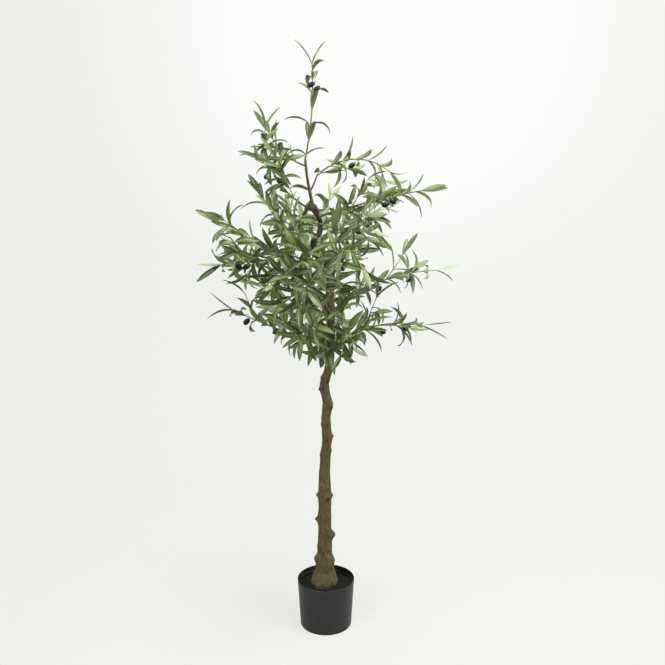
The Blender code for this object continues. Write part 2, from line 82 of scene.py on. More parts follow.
# The ledge inside, as rows of how far in from the wall's outside and how far over its own top
LEDGE_DEPTH = 0.0165
LEDGE = (
    (RIM_WALL, 0.0005),
    (0.0020, 0),
    (0.0055, -0.0004),
    (0.0057, -0.0012),
    (0.0055, -0.0020),
    (POT_WALL, -0.0023),
)

# Fill: its round edge, the rings of its top, and the lumps there, which lie a share of their rise deep
FILL_TOP = 0.1355
FILL_CLEAR = 0.0005
FILL_EDGE = 0.002
FILL_EDGE_ANGLE = 60
FILL_RINGS = 36
FILL_MIDDLE = 0.001
FILL_SKIN = 0.003
FILL_LUMPS = 0.0016
LUMPS_SUNK = 0.6
LUMPS_PER_METRE = 260
# Their noise: how fast its layers fade, how much finer each is than the last, and how many there are
LUMPS_NOISE = (1.0, 2.0, 3)
# Grains: how far they keep from the edge, and the share of the top that the trunk keeps free of them.
# Each is sunk, roughened and flattened by shares of its size.
GRIT_COUNT = 900
GRIT_SIZES = (0.0007, 0.0024)
GRIT_SEED = 5
GRIT_EDGE = 0.003
GRIT_FREE = 0.16
GRIT_SINK = 0.2
GRIT_ROUGHNESS = (0.7, 1.2)
GRIT_FLATNESS = 0.7

# Trunk: height, how far it leans to the right and to the rear, and radius
TRUNK = (
    (FILL_TOP + JOINT_GAP, -0.005, 0.000, 0.0430),
    (0.148, -0.005, 0.000, 0.0420),
    (0.164, -0.0045, 0.000, 0.0370),
    (0.186, -0.0035, 0.001, 0.0295),
    (0.244, -0.0030, 0.002, 0.0225),
    (0.320, -0.003, 0.003, 0.0203),
    (0.404, -0.0035, 0.001, 0.0192),
    (0.470, -0.003, -0.001, 0.0186),
    (0.520, -0.0035, -0.002, 0.0163),
    (0.570, 0.000, -0.002, 0.0145),
    (0.618, 0.004, -0.001, 0.0141),
    (0.690, 0.001, 0.001, 0.0135),
    (0.736, 0.007, 0.002, 0.0150),
    (0.762, 0.001, 0.002, 0.0131),
    (0.797, -0.003, 0.001, 0.0130),
    (0.846, 0.010, -0.001, 0.0130),
    (0.887, 0.0145, -0.002, 0.0121),
    (0.980, 0.016, -0.001, 0.0116),
    (1.085, 0.015, 0.002, 0.0108),
    (1.127, 0.0085, 0.002, 0.0103),
    (1.160, -0.010, 0.001, 0.0098),
    (1.183, -0.0225, 0.000, 0.0094),
    (1.205, -0.031, -0.001, 0.0092),
    (1.220, -0.0345, 0.000, 0.0092),
    (1.233, -0.0335, 0.000, 0.0088),
    (1.246, -0.021, 0.001, 0.0080),
    (1.258, -0.0145, 0.001, 0.0070),
    (1.288, -0.0145, 0.001, 0.0066),
    (1.303, -0.022, 0.001, 0.0072),
    (1.316, -0.031, 0.001, 0.0094),
    (1.328, -0.036, 0.000, 0.0106),
    (1.336, -0.037, 0.000, 0.0085),
)
# Knots on the trunk: height, heading, and how far each stands out
KNOTS = (
    (0.222, 180, 0.0090),
    (0.218, 0, 0.0050),
    (0.303, 5, 0.0115),
    (0.355, 175, 0.0090),
    (0.437, -60, 0.0050),
    (0.630, 10, 0.0055),
    (0.780, 185, 0.0065),
    (0.818, 170, 0.0045),
    (1.020, -20, 0.0040),
)
KNOT_HEIGHT = 0.013
KNOT_SPREAD = 38

# A limb leaves its parent at a place: a height on the trunk, or a share of another bough.
# It sets off at a heading and a rise, which change evenly by its sweep and its bend.
Bough = namedtuple("Bough", "parent place heading rise length bend sweep root_radius tip_radius")
BOUGHS = {
    "leader_bough": Bough("trunk", 1.322, -170, 75, 0.145, 11, 0, 0.0045, 0.0032),
    "upper_right_bough": Bough("leader_bough", 0.35, 15, 58, 0.050, 14, 0, 0.0034, 0.0028),
    "upper_left_bough": Bough("trunk", 1.316, -170, 24, 0.060, 15, 0, 0.0040, 0.0030),
    "shoulder_bough": Bough("trunk", 1.180, -152, 36, 0.060, 5, -1, 0.0055, 0.0042),
    "high_left_bough": Bough("trunk", 1.160, -159, 16, 0.075, 4, 1, 0.0050, 0.0038),
    "left_bough": Bough("trunk", 1.090, -156, 40, 0.090, -13, 2, 0.0055, 0.0040),
    "low_left_bough": Bough("trunk", 0.912, -162, 20, 0.075, 2, -1, 0.0055, 0.0040),
    "low_right_bough": Bough("trunk", 0.912, -6, 39, 0.060, -10, -2, 0.0055, 0.0040),
    "right_bough": Bough("trunk", 1.012, 40, 36, 0.080, -7, -9, 0.0055, 0.0040),
    "front_bough": Bough("trunk", 1.012, -119, 42, 0.150, -13, 11, 0.0065, 0.0045),
    "right_high_bough": Bough("trunk", 1.300, -6, 19, 0.050, -2, 0, 0.0042, 0.0032),
}
TIP = 1.0

# A spray's stem starts as a limb does. Bare is its length before the first leaves, twigs the
# number of its side twigs, and seed what its leaves are drawn by. The last three are for what grows
# between its pairs: the share of places with a finer twig, the share with a leaf, and the seed.
SPRAY_FACTS = "parent place heading rise length bend sweep bare twigs seed fine_twigs fine_leaves fine_seed"
Spray = namedtuple("Spray", SPRAY_FACTS)
SPRAYS = {
    "leader_spray": Spray("leader_bough", TIP, 30, 76, 0.265, 18, -6, 0.010, 0, 519, 0.1, 0.1, 476),
    "upper_left_spray": Spray("upper_left_bough", TIP, -168, 36, 0.235, 61, 5, 0.010, 3, 708, 0, 0.7, 79),
    "inner_left_spray": Spray("leader_bough", 0.860, 159, 17, 0.155, 43, -10, 0.030, 1, 156, 0.2, 0.7, 225),
    "shoulder_spray": Spray("shoulder_bough", TIP, -151, 39, 0.205, 20, 0, 0.015, 2, 190, 0.2, 0.3, 603),
    "high_left_spray": Spray("high_left_bough", TIP, -158, 18, 0.265, 15, 6, 0.020, 3, 91, 0.1, 0.1, 406),
    "left_spray": Spray("left_bough", TIP, -153, 29, 0.275, -40, 3, 0.015, 4, 626, 0.2, 0.7, 519),
    "low_left_spray": Spray("low_left_bough", TIP, -163, 22, 0.245, 5, -4, 0.010, 3, 72, 0, 0.3, 554),
    "low_right_spray": Spray("low_right_bough", TIP, -8, 30, 0.235, -39, -7, 0.010, 3, 84, 0, 0.3, 636),
    "right_spray": Spray("right_bough", TIP, 32, 26, 0.295, -24, -29, 0.015, 3, 340, 0, 0.3, 723),
    "upper_right_spray": Spray("upper_right_bough", TIP, 21, 43, 0.250, -82, -3, 0.010, 3, 323, 0, 0.1, 690),
    "right_high_spray": Spray("right_high_bough", TIP, -4, 17, 0.260, -7, 5, 0.010, 3, 626, 0.1, 0.7, 90),
    "rear_right_spray": Spray("trunk", 1.215, 54, -9, 0.310, 54, -7, 0.050, 3, 820, 0.2, 0.7, 296),
    "front_right_spray": Spray("trunk", 1.080, -81, 35, 0.340, 0, -12, 0.050, 3, 718, 0.2, 0.3, 959),
    "front_spray": Spray("front_bough", TIP, -101, 25, 0.230, -28, 17, 0.010, 4, 808, 0.2, 0.3, 845),
    "low_front_left_spray": Spray("trunk", 0.892, -113, 28, 0.300, -9, 12, 0.050, 4, 919, 0, 0.5, 420),
    "low_front_right_spray": Spray("trunk", 0.898, -81, 24, 0.275, 8, 6, 0.050, 3, 617, 0.2, 0.3, 561),
    "rear_left_spray": Spray("trunk", 1.010, 145, 7, 0.280, 11, -4, 0.050, 3, 44, 0.2, 0.7, 43),
    "low_rear_spray": Spray("trunk", 0.930, 90, 17, 0.265, -9, 3, 0.050, 2, 57, 0.2, 0.5, 280),
    "rear_spray": Spray("trunk", 1.100, 107, 8, 0.290, 25, -12, 0.050, 3, 582, 0.2, 0.5, 80),
    "high_rear_spray": Spray("trunk", 1.250, 86, 13, 0.245, -3, 1, 0.050, 3, 49, 0.1, 0.5, 784),
    "high_rear_left_spray": Spray("trunk", 1.190, 123, 15, 0.235, 4, -11, 0.050, 2, 82, 0.1, 0.7, 2),
}

# Leaves and twigs
NODE_SPACING = 0.041
LEAF_LENGTH = 0.080
LEAF_WIDTH = 0.018
LEAF_SINK = 0.0008
LEAF_CURLS = (20, 45, 70, 95, 115)
LEAF_TWIST = 40
LEAF_OUTLINE = (0.15, 0.5, 0.78, 0.95, 1, 0.97, 0.8, 0.5, 0.06)
LEAF_LENGTHS = (0.86, 1.12)
LEAF_WIDTHS = (0.88, 1.12)
LEAF_LIFT = (28, 52)
LEAF_SWING = 15
CURL_SPREAD = 8
END_LEAF_LIFT = (8, 26)
END_LEAF_CURL = (-12, 45)
TWIG_LENGTH = (0.085, 0.125)
TWIG_BARE = 0.036
TWIG_LEAN = (35, 50)
TWIG_BEND = (-20, 12)
TWIG_SWEEP = (-15, 15)
TWIG_SWING = 25
STEM_RADII = (0.0026, 0.0014)
TWIG_RADII = (0.0019, 0.0012)
END_SINK = 0.004
PATH_STEP = 0.0135

# A leaf or twig that has no room is drawn again, each time turned further and the leaf shorter
TRIES = 6
RETRY_SWING = 13
RETRY_SHRINK = 0.95

# How far a leaf may reach past the middle between two sprays, its least clearance, the share of
# its width that is measured, the first points that lie too near its own stem to count, and how far
# round it other pieces are looked for
REACH_PAST = 0.020
CLEARANCE = 0.0012
MEASURED_WIDTH = 0.8
FREE_POINTS = 2
SEARCH_MARGIN = 0.012

# Olives: for each spray, the share of its stem and the heading that each hangs at
OLIVES = {
    "leader_spray": ((0.84, -105), (0.80, -30)),
    "upper_left_spray": ((0.40, 0), (0.48, -165), (0.62, 10)),
    "high_left_spray": ((0.76, 15), (0.70, -100)),
    "left_spray": ((0.76, 165), (0.72, -80)),
    "low_left_spray": ((0.84, -60), (0.48, 30)),
    "low_right_spray": ((0.76, 75), (0.44, -60)),
    "right_spray": ((0.32, -15), (0.68, -45)),
    "upper_right_spray": ((0.44, -45),),
    "right_high_spray": ((0.72, -180), (0.56, -60)),
    "rear_right_spray": ((0.84, -15), (0.72, -90)),
    "front_right_spray": ((0.56, 0), (0.72, 0)),
    "rear_left_spray": ((0.84, 15),),
    "high_rear_spray": ((0.92, -90), (0.50, 60)),
    "high_rear_left_spray": ((0.80, -165),),
    "rear_spray": ((0.60, 120),),
    "low_rear_spray": ((0.70, 60),),
}
OLIVE_LENGTH = 0.025
OLIVE_WIDTH = 0.018
STALK_OUT = 0.014
STALK_DROP = 0.016

# The level part of a unit vector under which it counts as upright
NEARLY_UPRIGHT = 0.15

# Finer twigs, and the share of a grown leaf's width that they and their leaves keep clear of
FINE_TWIG_LENGTH = (0.045, 0.080)
FINE_TWIG_BARE = 0.018
FINE_TWIG_RADII = (0.0014, 0.0010)
FINE_WIDTH = 0.4

# Bark: steps along it, its sides, and how far its plates, cracks and lumps stand out
BARK_STEP = 0.0022
TRUNK_SIDES = 96
BARK_PLATES = 0.0007
BARK_CRACKS = 0.0003
BARK_LUMPS = 0.06
# Each pattern's turns to a metre, across and along the limb, and where it starts
PLATE_PATTERN = (95, 34, 0)
CRACK_PATTERN = (260, 90, 7)
LUMP_PATTERN = (42, 26, 3)
RIDGE_DEPTH = 2.2
CRACK_WEAR = 0.6
# Painted shade: how much darker the trunk gets up in the crown, where the crown shades it, as rows of height
# and how far the dark wash deepens
TRUNK_PAINTED_SHADE = ((0.5, 0), (0.75, 0.3), (1.15, 0.5), (1.2, 1))
TRUNK_CROWN = 0.002

# Knots low on the trunk are round, and the others pointed. The small ones are only in this finish.
ROUND_KNOTS_TOP = 0.32
KNOT_POINT = 1.35
KNOT_SLOPE = 1.7
SMALL_KNOTS = (
    (0.437, 178, 0.0060),
    (0.437, 2, 0.0058),
    (0.262, 172, 0.0020),
    (0.405, 20, 0.0022),
    (0.585, 2, 0.0030),
    (0.572, 186, 0.0032),
    (0.512, -140, 0.0025),
    (0.668, 176, 0.0020),
    (0.722, -10, 0.0028),
)
# Roots that spread at the trunk's foot: heading, spread, and how far each stands out
ROOTS = (
    (-172, 26, 0.0050),
    (-122, 20, 0.0055),
    (-78, 16, 0.0030),
    (-35, 22, 0.0045),
    (4, 18, 0.0050),
    (60, 24, 0.0050),
    (128, 24, 0.0045),
)
ROOTS_TOP = 0.200
ROOTS_FLARE = 1.3
ROOTS_TROUGH = 0.1
# Under this height the trunk draws in, to this share of its radius at the fill
TUCK_TOP = 0.150
FOOT_TUCK = 0.92
# The burl at the trunk's top
BURL_HEIGHT = 1.327
BURL_OUT = 0.0022
BURL_WIDTH = 0.009

# Boughs: their rings and sides, their share of the trunk's relief, how much darker painted shade makes them,
# the swelling where each leaves its parent, its narrow end, and the slimmer ones at the top
BOUGH_STEP = 0.0025
BOUGH_ROWS = 12
BOUGH_SIDES = 20
BOUGH_RELIEF = 0.5
BOUGH_PAINTED_SHADE = 0.35
BOUGH_SWELL = 0.5
BOUGH_SWELL_LENGTH = 0.010
BOUGH_END = 0.72
BOUGH_END_LENGTH = 0.004
SLIM_BOUGHS = {"upper_right_bough": 0.7, "upper_left_bough": 0.75, "right_high_bough": 0.8}

# Leaf mesh: where its columns lie across it and which are sharp, the rise of its fold and the wave of
# its edges as shares of its half width, how long and how far on that wave is in radians, and how far
# the leaf bends sideways
LEAF_SEED = 11
LEAF_COLUMNS = (-1, -0.5, 0, 0.5, 1)
SHARP_COLUMNS = (0, 2, 4)
LEAF_FOLD = 0.36
FOLD_CURVE = 1.2
LEAF_WAVE = 0.10
LEAF_WAVES = (4, 8)
WAVE_STARTS = (0, 6)
LEAF_SIDE_BEND = 0.010
LEAF_FULLNESS = 0.87
LEAF_THICKNESS = 0.0008
YOUNG_SHARE = 0.25

# Stems: the step between rings and their sides. An age colours each ring, from 0 at the limb to 1
# at a tip, and is 2 on a sleeve.
STEM_STEP = 0.007
STEM_ROWS = 4
STEM_SIDES = 8
STEM_AGES = (0, 0.75)
TWIG_SIDES = 6
TWIG_AGES = (0.35, 1)
# A sleeve at each pair of leaves, as rows of its place and how far it stands out, as shares
SLEEVE = ((-0.3, 0.2), (-0.15, 1), (0.3, 0.6), (0.7, 0.1))
SLEEVE_LENGTH = 0.007
SLEEVE_OUT = 0.0007
SLEEVE_AGE = 2

# Olives: how they lie, and their shape. Their stalks: where they bend over and how deep they end.
OLIVE_SEED = 7
OLIVE_SIDES = 24
OLIVE_ROWS = 14
OLIVE_LEAN = (0.9, 2.6)
OLIVE_TILT = (-0.4, 0.4)
OLIVE_SIZES = (0.92, 1.06)
OLIVE_SLIMNESS = 0.88
OLIVE_TAPER = 0.10
OLIVE_POINT = 0.06
STALK_SIDES = 6
STALK_ROWS = 12
STALK_RADIUS = 0.0008
STALK_RISE = 0.012
STALK_BEND = 0.7
STALK_SEAT = 0.48
STALK_AGE = 0.8

# Surroundings: a backdrop a little lighter to the right, and lightest behind the top of the crown
FLOOR_COLOUR = "#c4c8c1"
FLOOR_RADIUS = 6
FLOOR_SIDES = 96
WORLD_COLOUR = "#eef1eb"
BACKDROP_LEFT = "#ebeee8"
BACKDROP_RIGHT = "#f3f5f0"
GLOW_COLOUR = "#fdfdfb"
GLOW_DIRECTION = (0.06, 1.0, 0.12)
GLOW_WIDTH = 20
WORLD_LIGHT = 0.29
WORLD_SHEEN = 0.5
# Lamps: place, size and power
LAMP_AIM = (0, 0, 1.1)
LAMPS = {
    "top light": ((0.4, -0.5, 4.0), 2.0, 158),
    "front light": ((-2.2, -2.6, 2.9), 1.8, 142),
    "side light": ((2.6, -1.4, 2.4), 1.8, 70),
    "edge light": ((2.6, 0.9, 0.9), 1.6, 30),
}
# Camera: its lens is in millimetres, and its tilt is under level
CAMERA_PLACE = (0.021, -2.525, 1.513)
CAMERA_LENS = 46.83
CAMERA_TILT = 12.44

# Greens of the leaves: upper side, its margin, underside and its margin
RIB_COLOUR = "#a9b486"
LEAF_GREENS = {
    "deep": ("#42551a", "#22300c", "#7e8e5c", "#607045"),
    "middle": ("#4e6220", "#2c3b11", "#839261", "#647446"),
    # Pale is painted lighter, as painted light for leaves at the back that catch strong light.
    "pale": ("#8b9a64", "#607044", "#99a67a", "#7a8960"),
    "young": ("#737f44", "#525e30", "#828d5e", "#687445"),
}
# Sprays with another green; the others are middle. Pale at the back is painted light, deep is darker.
SPRAY_GREENS = {
    "right_spray": "pale",
    "rear_right_spray": "pale",
    "rear_left_spray": "pale",
    "low_front_right_spray": "deep",
    "front_spray": "deep",
    "inner_left_spray": "deep",
    "low_rear_spray": "pale",
    "high_rear_spray": "pale",
    "rear_spray": "pale",
}

# What grows: stems, leaves, the nodes where leaves leave their stem, and olives
Stem = namedtuple("Stem", "points directions sides radii")
Leaf = namedtuple("Leaf", "line normals edges half_widths young", defaults=(False,))
Node = namedtuple("Node", "place along side radius")
Olive = namedtuple("Olive", "root middle")


def direction(heading, rise):
    """A unit vector from a heading, counted from +X to +Y, and a rise above level."""
    turn, lift = math.radians(heading), math.radians(rise)
    level = math.cos(lift)
    return np.array((level * math.cos(turn), level * math.sin(turn), math.sin(lift)))


def unit(vector):
    """A vector of length 1 in the same direction."""
    return vector / np.linalg.norm(vector)


def towards(first, second, angle):
    """The direction at an angle, in radians, from one direction towards another."""
    return first * math.cos(angle) + second * math.sin(angle)


def square_to(along):
    """A level unit vector at right angles to a direction."""
    across = np.cross(along, (0, 0, 1.0))
    if np.linalg.norm(across) < NEARLY_UPRIGHT:
        across = np.cross(along, (0, -1.0, 0))
    return unit(across)


def trunk_at(height):
    """The middle of the trunk and its radius at a height."""
    rows = np.array(TRUNK)
    x, y, radius = (np.interp(height, rows[:, 0], rows[:, column]) for column in (1, 2, 3))
    return np.array((x, y, height)), radius


def grow_stem(root, heading, rise, length, bend, sweep, radii):
    """A stem whose heading and rise change evenly from its root to its tip."""
    count = max(3, round(length / PATH_STEP))
    points = [np.array(root, float)]
    directions = [direction(heading, rise)]
    sides = [square_to(directions[0])]
    for step in range(count):
        middle, end = (step + 0.5) / count, (step + 1) / count
        step_along = direction(heading + sweep * middle, rise + bend * middle)
        points.append(points[-1] + step_along * length / count)
        directions.append(direction(heading + sweep * end, rise + bend * end))
        sides.append(unit(sides[-1] - directions[-1] * np.dot(sides[-1], directions[-1])))
    return Stem(np.array(points), np.array(directions), np.array(sides), np.linspace(*radii, count + 1))


def stem_at(stem, share):
    """The point, direction and side of a stem at a share of its length."""
    place = min(max(share, 0.0), 1.0) * (len(stem.points) - 1)
    before = min(int(place), len(stem.points) - 2)
    part = place - before
    point, along, side = (
        rows[before] * (1 - part) + rows[before + 1] * part
        for rows in (stem.points, stem.directions, stem.sides)
    )
    along = unit(along)
    return point, along, unit(side - along * np.dot(side, along))


def radius_at(stem, share):
    """The radius of a stem at a share of its length."""
    return np.interp(share, (0, 1), stem.radii[[0, -1]])


def length_of(stem):
    """The length of a stem along its points."""
    return np.linalg.norm(np.diff(stem.points, axis=0), axis=1).sum()


def all_of(grown):
    """All that has grown on every spray, in one list."""
    return [made for row in grown.values() for made in row]


def capsules(points, radii):
    """A line as rows of start, end and radius, to measure clearances from."""
    return np.column_stack((points[:-1], points[1:], np.maximum(radii[:-1], radii[1:])))


def distances(points, rows):
    """The distance of each point from the middle line of each capsule."""
    start, run = rows[:, :3], rows[:, 3:6] - rows[:, :3]
    share = ((points[:, None] - start) * run).sum(-1) / np.maximum((run * run).sum(-1), 1e-12)
    nearest = start + np.clip(share, 0, 1)[..., None] * run
    return np.linalg.norm(nearest - points[:, None], axis=-1)


class Canopy:
    """All limbs, stems, twigs, leaves and olives, each kept only where it has room."""

    def __init__(self):
        heights, xs, ys, radii = np.array(TRUNK).T
        self.limbs = {}
        for name, row in BOUGHS.items():
            radii_of_bough = (row.root_radius, row.tip_radius)
            self.limbs[name] = grow_stem(self.place(row), *row[2:7], radii_of_bough)
        self.wood = [capsules(np.column_stack((xs, ys, heights)), radii)]
        self.wood += [stem_room(limb) for limb in self.limbs.values()]
        self.mains = {
            name: grow_stem(self.place(row), *row[2:7], STEM_RADII) for name, row in SPRAYS.items()
        }
        self.olives = {name: [self.hang(name, *row) for row in OLIVES.get(name, ())] for name in SPRAYS}
        self.wood += [capsules(*olive_line(olive)) for olive in all_of(self.olives)]
        self.stems, self.leaves, self.nodes = {}, {}, []
        for name in SPRAYS:
            self.grow_spray(name)
        for name in SPRAYS:
            self.carry_on(name)

    def place(self, row):
        """The point on its parent that a limb or stem leaves."""
        if row.parent == "trunk":
            return trunk_at(row.place)[0]
        return stem_at(self.limbs[row.parent], row.place)[0]

    def take_space(self, name, grown, seed):
        """Sets what a spray has to keep clear of, the space it stays in, and what it is drawn by."""
        others = [stem_room(stem) for key, stem in self.mains.items() if key != name]
        self.taken = np.vstack(self.wood + others + grown)
        self.own_line = stem_room(self.mains[name])
        self.other_lines = np.vstack(others)
        self.random = random.Random(seed)

    def grow_spray(self, name):
        """A spray's twigs and leaves, as the solids have them."""
        row = SPRAYS[name]
        main = self.mains[name]
        grown = [stem_room(stem) for stem in all_of(self.stems)]
        grown += [capsules(leaf.line, leaf.half_widths) for leaf in all_of(self.leaves)]
        self.take_space(name, grown, row.seed)
        self.stems[name], self.leaves[name] = [main], []
        self.set_leaves(name, main, row.length, row.bare, row.twigs)

    def has_room(self, points, radii):
        """Whether a line keeps clear of all other pieces and stays in its spray's space."""
        low, high = points.min(0) - SEARCH_MARGIN, points.max(0) + SEARCH_MARGIN
        start, end, reach = self.taken[:, :3], self.taken[:, 3:6], self.taken[:, 6:]
        near = (np.minimum(start, end) - reach < high) & (np.maximum(start, end) + reach > low)
        rows = self.taken[near.all(1)]
        if len(rows) and (distances(points, rows) - rows[:, 6] - radii[:, None]).min() < CLEARANCE:
            return False
        own = distances(points, self.own_line).min(1)
        return bool((own < distances(points, self.other_lines).min(1) + REACH_PAST).all())

    def set_leaves(self, name, stem, length, bare, twigs):
        """Crossed pairs of leaves along a stem, with a twig in place of a leaf at some nodes."""
        pairs = max(1, round((length - bare) / NODE_SPACING))
        twig_nodes = self.random.sample(range(pairs), min(twigs, pairs)) if twigs else ()
        first_roll = self.random.uniform(0, 180)
        for pair in range(pairs + 1):
            share = min(bare + (length - bare) * pair / pairs, length - END_SINK) / length
            spot = stem_at(stem, share)
            roll = first_roll + 90 * pair
            self.nodes.append(Node(*spot, radius_at(stem, share)))
            for turn in (0, 180):
                if turn == 0 and pair in twig_nodes and self.set_twig(name, spot, roll):
                    continue
                self.set_leaf(name, spot, roll + turn, pair == pairs)

    def outward(self, spot, roll, swing):
        """A direction square to a stem, near a roll about it."""
        _, along, side = spot
        turn = math.radians(roll + self.random.uniform(-swing, swing))
        return towards(side, np.cross(side, along), turn)

    def set_twig(self, name, spot, roll, lengths=TWIG_LENGTH, bare=TWIG_BARE, radii=TWIG_RADII):
        """A twig with its leaves, where it has room."""
        for attempt in range(TRIES):
            out = self.outward(spot, roll, TWIG_SWING + RETRY_SWING * attempt)
            lean = math.radians(self.random.uniform(*TWIG_LEAN))
            set_off = towards(spot[1], out, lean)
            length = self.random.uniform(*lengths)
            heading = math.degrees(math.atan2(set_off[1], set_off[0]))
            rise = math.degrees(math.asin(set_off[2]))
            bend, sweep = self.random.uniform(*TWIG_BEND), self.random.uniform(*TWIG_SWEEP)
            twig = grow_stem(spot[0], heading, rise, length, bend, sweep, radii)
            if self.has_room(twig.points[FREE_POINTS:], twig.radii[FREE_POINTS:]):
                self.stems[name].append(twig)
                self.set_leaves(name, twig, length, bare, 0)
                return True
        return False

    def set_leaf(self, name, spot, roll, last):
        """A leaf, where it has room. The last ones on a stem point along it, and may be young."""
        for attempt in range(TRIES):
            out = self.outward(spot, roll, LEAF_SWING + RETRY_SWING * attempt)
            length = LEAF_LENGTH * self.random.uniform(*LEAF_LENGTHS) * RETRY_SHRINK**attempt
            width = LEAF_WIDTH * self.random.uniform(*LEAF_WIDTHS)
            if last:
                lift, curl = self.random.uniform(*END_LEAF_LIFT), self.random.uniform(*END_LEAF_CURL)
            else:
                lift = self.random.uniform(*LEAF_LIFT)
                curl = self.random.choice(LEAF_CURLS) + self.random.uniform(-CURL_SPREAD, CURL_SPREAD)
            twist = self.random.uniform(-LEAF_TWIST, LEAF_TWIST)
            leaf = make_leaf(spot[0], spot[1], out, length, width, lift, curl, twist)
            if self.has_room(leaf.line[FREE_POINTS:], leaf.half_widths[FREE_POINTS:] * MEASURED_WIDTH):
                self.leaves[name].append(leaf._replace(young=last))
                return

    def hang(self, name, share, heading):
        """An olive that hangs beside its stem, on a stalk that leans out and droops."""
        root = stem_at(self.mains[name], share)[0]
        return Olive(root, root + direction(heading, 0) * STALK_OUT - np.array((0, 0, STALK_DROP)))

    def carry_on(self, name):
        """Finer twigs and leaves between the pairs on a spray's stems, by the same rule and reach."""
        row = SPRAYS[name]
        grown = [stem_room(twig, 1) for stems_grown in self.stems.values() for twig in stems_grown[1:]]
        grown += [blade_room(leaf) for leaf in all_of(self.leaves)]
        self.take_space(name, grown, row.fine_seed)
        for stem in list(self.stems[name]):
            length = length_of(stem)
            bare = row.bare if stem is self.mains[name] else TWIG_BARE
            pairs = max(1, round((length - bare) / NODE_SPACING))
            first_roll = self.random.uniform(0, 180)
            for pair in range(pairs):
                spot = stem_at(stem, (bare + (length - bare) * (pair + 0.5) / pairs) / length)
                for turn in (0, 180):
                    self.add_fine(name, spot, first_roll + 90 * pair + turn)

    def add_fine(self, name, spot, roll):
        """A finer twig or a single leaf at a place, or nothing, as the spray's shares say."""
        row, drawn = SPRAYS[name], self.random.random()
        before = len(self.leaves[name])
        if drawn < row.fine_twigs:
            self.set_twig(name, spot, roll, FINE_TWIG_LENGTH, FINE_TWIG_BARE, FINE_TWIG_RADII)
        elif drawn < row.fine_twigs + row.fine_leaves:
            self.set_leaf(name, spot, roll, False)
        added = [blade_room(leaf) for leaf in self.leaves[name][before:]]
        self.taken = np.vstack([self.taken] + added)


def stem_room(stem, first=0):
    """The room of a stem, from its first point or a later one."""
    return capsules(stem.points[first:], stem.radii[first:])


def blade_room(leaf):
    """The room of a grown leaf, from where it is clear of its own stem."""
    return capsules(leaf.line[FREE_POINTS:], leaf.half_widths[FREE_POINTS:] * FINE_WIDTH)


def olive_line(olive):
    """The line through an olive from top to bottom, with its radius, to measure clearances from."""
    half = np.array((0, 0, OLIVE_LENGTH / 2 - OLIVE_WIDTH / 3))
    return np.array((olive.middle + half, olive.middle - half)), np.full(2, OLIVE_WIDTH / 2)


def make_leaf(root, along, out, length, width, lift, curl, twist):
    """A leaf that lifts off its stem at an angle, then curls outwards and twists to its tip."""
    steps = len(LEAF_OUTLINE) - 1
    level = np.cross(along, out)
    line = [root - towards(along, out, math.radians(lift)) * LEAF_SINK]
    normals, edges = [], []
    for step in range(steps + 1):
        angle = math.radians(lift + curl * step / steps)
        turn = math.radians(twist * step / steps)
        hollow = towards(out, -along, angle)
        normals.append(towards(hollow, -level, turn))
        edges.append(towards(level, hollow, turn))
        middle = math.radians(lift + curl * (step + 0.5) / steps)
        line.append(line[-1] + towards(along, out, middle) * length / steps)
    half_widths = np.array(LEAF_OUTLINE) * width / 2
    return Leaf(np.array(line[:-1]), np.array(normals), np.array(edges), half_widths)


def drop_selection():
    """Deselects everything, because an operator acts on all that is selected."""
    bpy.ops.object.select_all(action="DESELECT")


def turned(name, rows, sides):
    """A turned solid, drawn out of a disc row by row: each row is a radius and a height."""
    drop_selection()
    radius, height = rows[0]
    bpy.ops.mesh.primitive_circle_add(
        vertices=sides, radius=radius, fill_type="NGON", location=(0, 0, height)
    )
    made = bpy.context.object
    made.name = made.data.name = name
    bpy.ops.object.transform_apply(location=True, rotation=True, scale=True)
    bpy.ops.object.mode_set(mode="EDIT")
    bpy.ops.mesh.select_all(action="SELECT")
    for next_radius, next_height in rows[1:]:
        bpy.ops.mesh.extrude_region_move(
            TRANSFORM_OT_translate={"value": (0, 0, next_height - height)}
        )
        share = next_radius / radius
        bpy.ops.transform.resize(value=(share, share, 1), center_override=(0, 0, next_height))
        radius, height = next_radius, next_height
    bpy.ops.mesh.select_all(action="SELECT")
    bpy.ops.mesh.normals_make_consistent(inside=False)
    bpy.ops.object.mode_set(mode="OBJECT")
    return made


def arc(centre, radius, start, end, steps):
    """Points of a round corner, from one angle to another in the plane of radius and height."""
    angles = [math.radians(start + (end - start) * step / steps) for step in range(steps + 1)]
    return [(centre[0] + radius * math.cos(a), centre[1] + radius * math.sin(a)) for a in angles]


def wall_radius(height):
    """The radius of the pot's outside at a height."""
    return POT_FOOT_RADIUS + (POT_RIM_RADIUS - POT_FOOT_RADIUS) * height / POT_HEIGHT


def pot():
    """The tapered pot: rounded foot, plain wall, thin rounded rim, and the stacking ledge inside."""
    foot = wall_radius(POT_FOOT_ROUND)
    rows = [(DISC_RADIUS, 0), (foot - 2 * POT_FOOT_ROUND, 0)]
    rows += arc((foot - POT_FOOT_ROUND, POT_FOOT_ROUND), POT_FOOT_ROUND, *FOOT_ARC)
    rows += [(wall_radius(height), height) for height in OUTER_HEIGHTS]
    rim = RIM_WALL / 2
    rows += arc((POT_RIM_RADIUS - rim, POT_HEIGHT - rim), rim, *RIM_ARC)
    ledge = POT_HEIGHT - LEDGE_DEPTH
    rows += [(wall_radius(ledge) - inwards, ledge + over) for inwards, over in LEDGE]
    rows += [(wall_radius(height) - POT_WALL, height) for height in INNER_HEIGHTS]
    rows += [(DISC_RADIUS, POT_FLOOR)]
    made = turned("pot_shell", rows, POT_SIDES)
    bpy.ops.object.shade_smooth_by_angle(angle=math.radians(POT_EDGE_ANGLE))
    return made


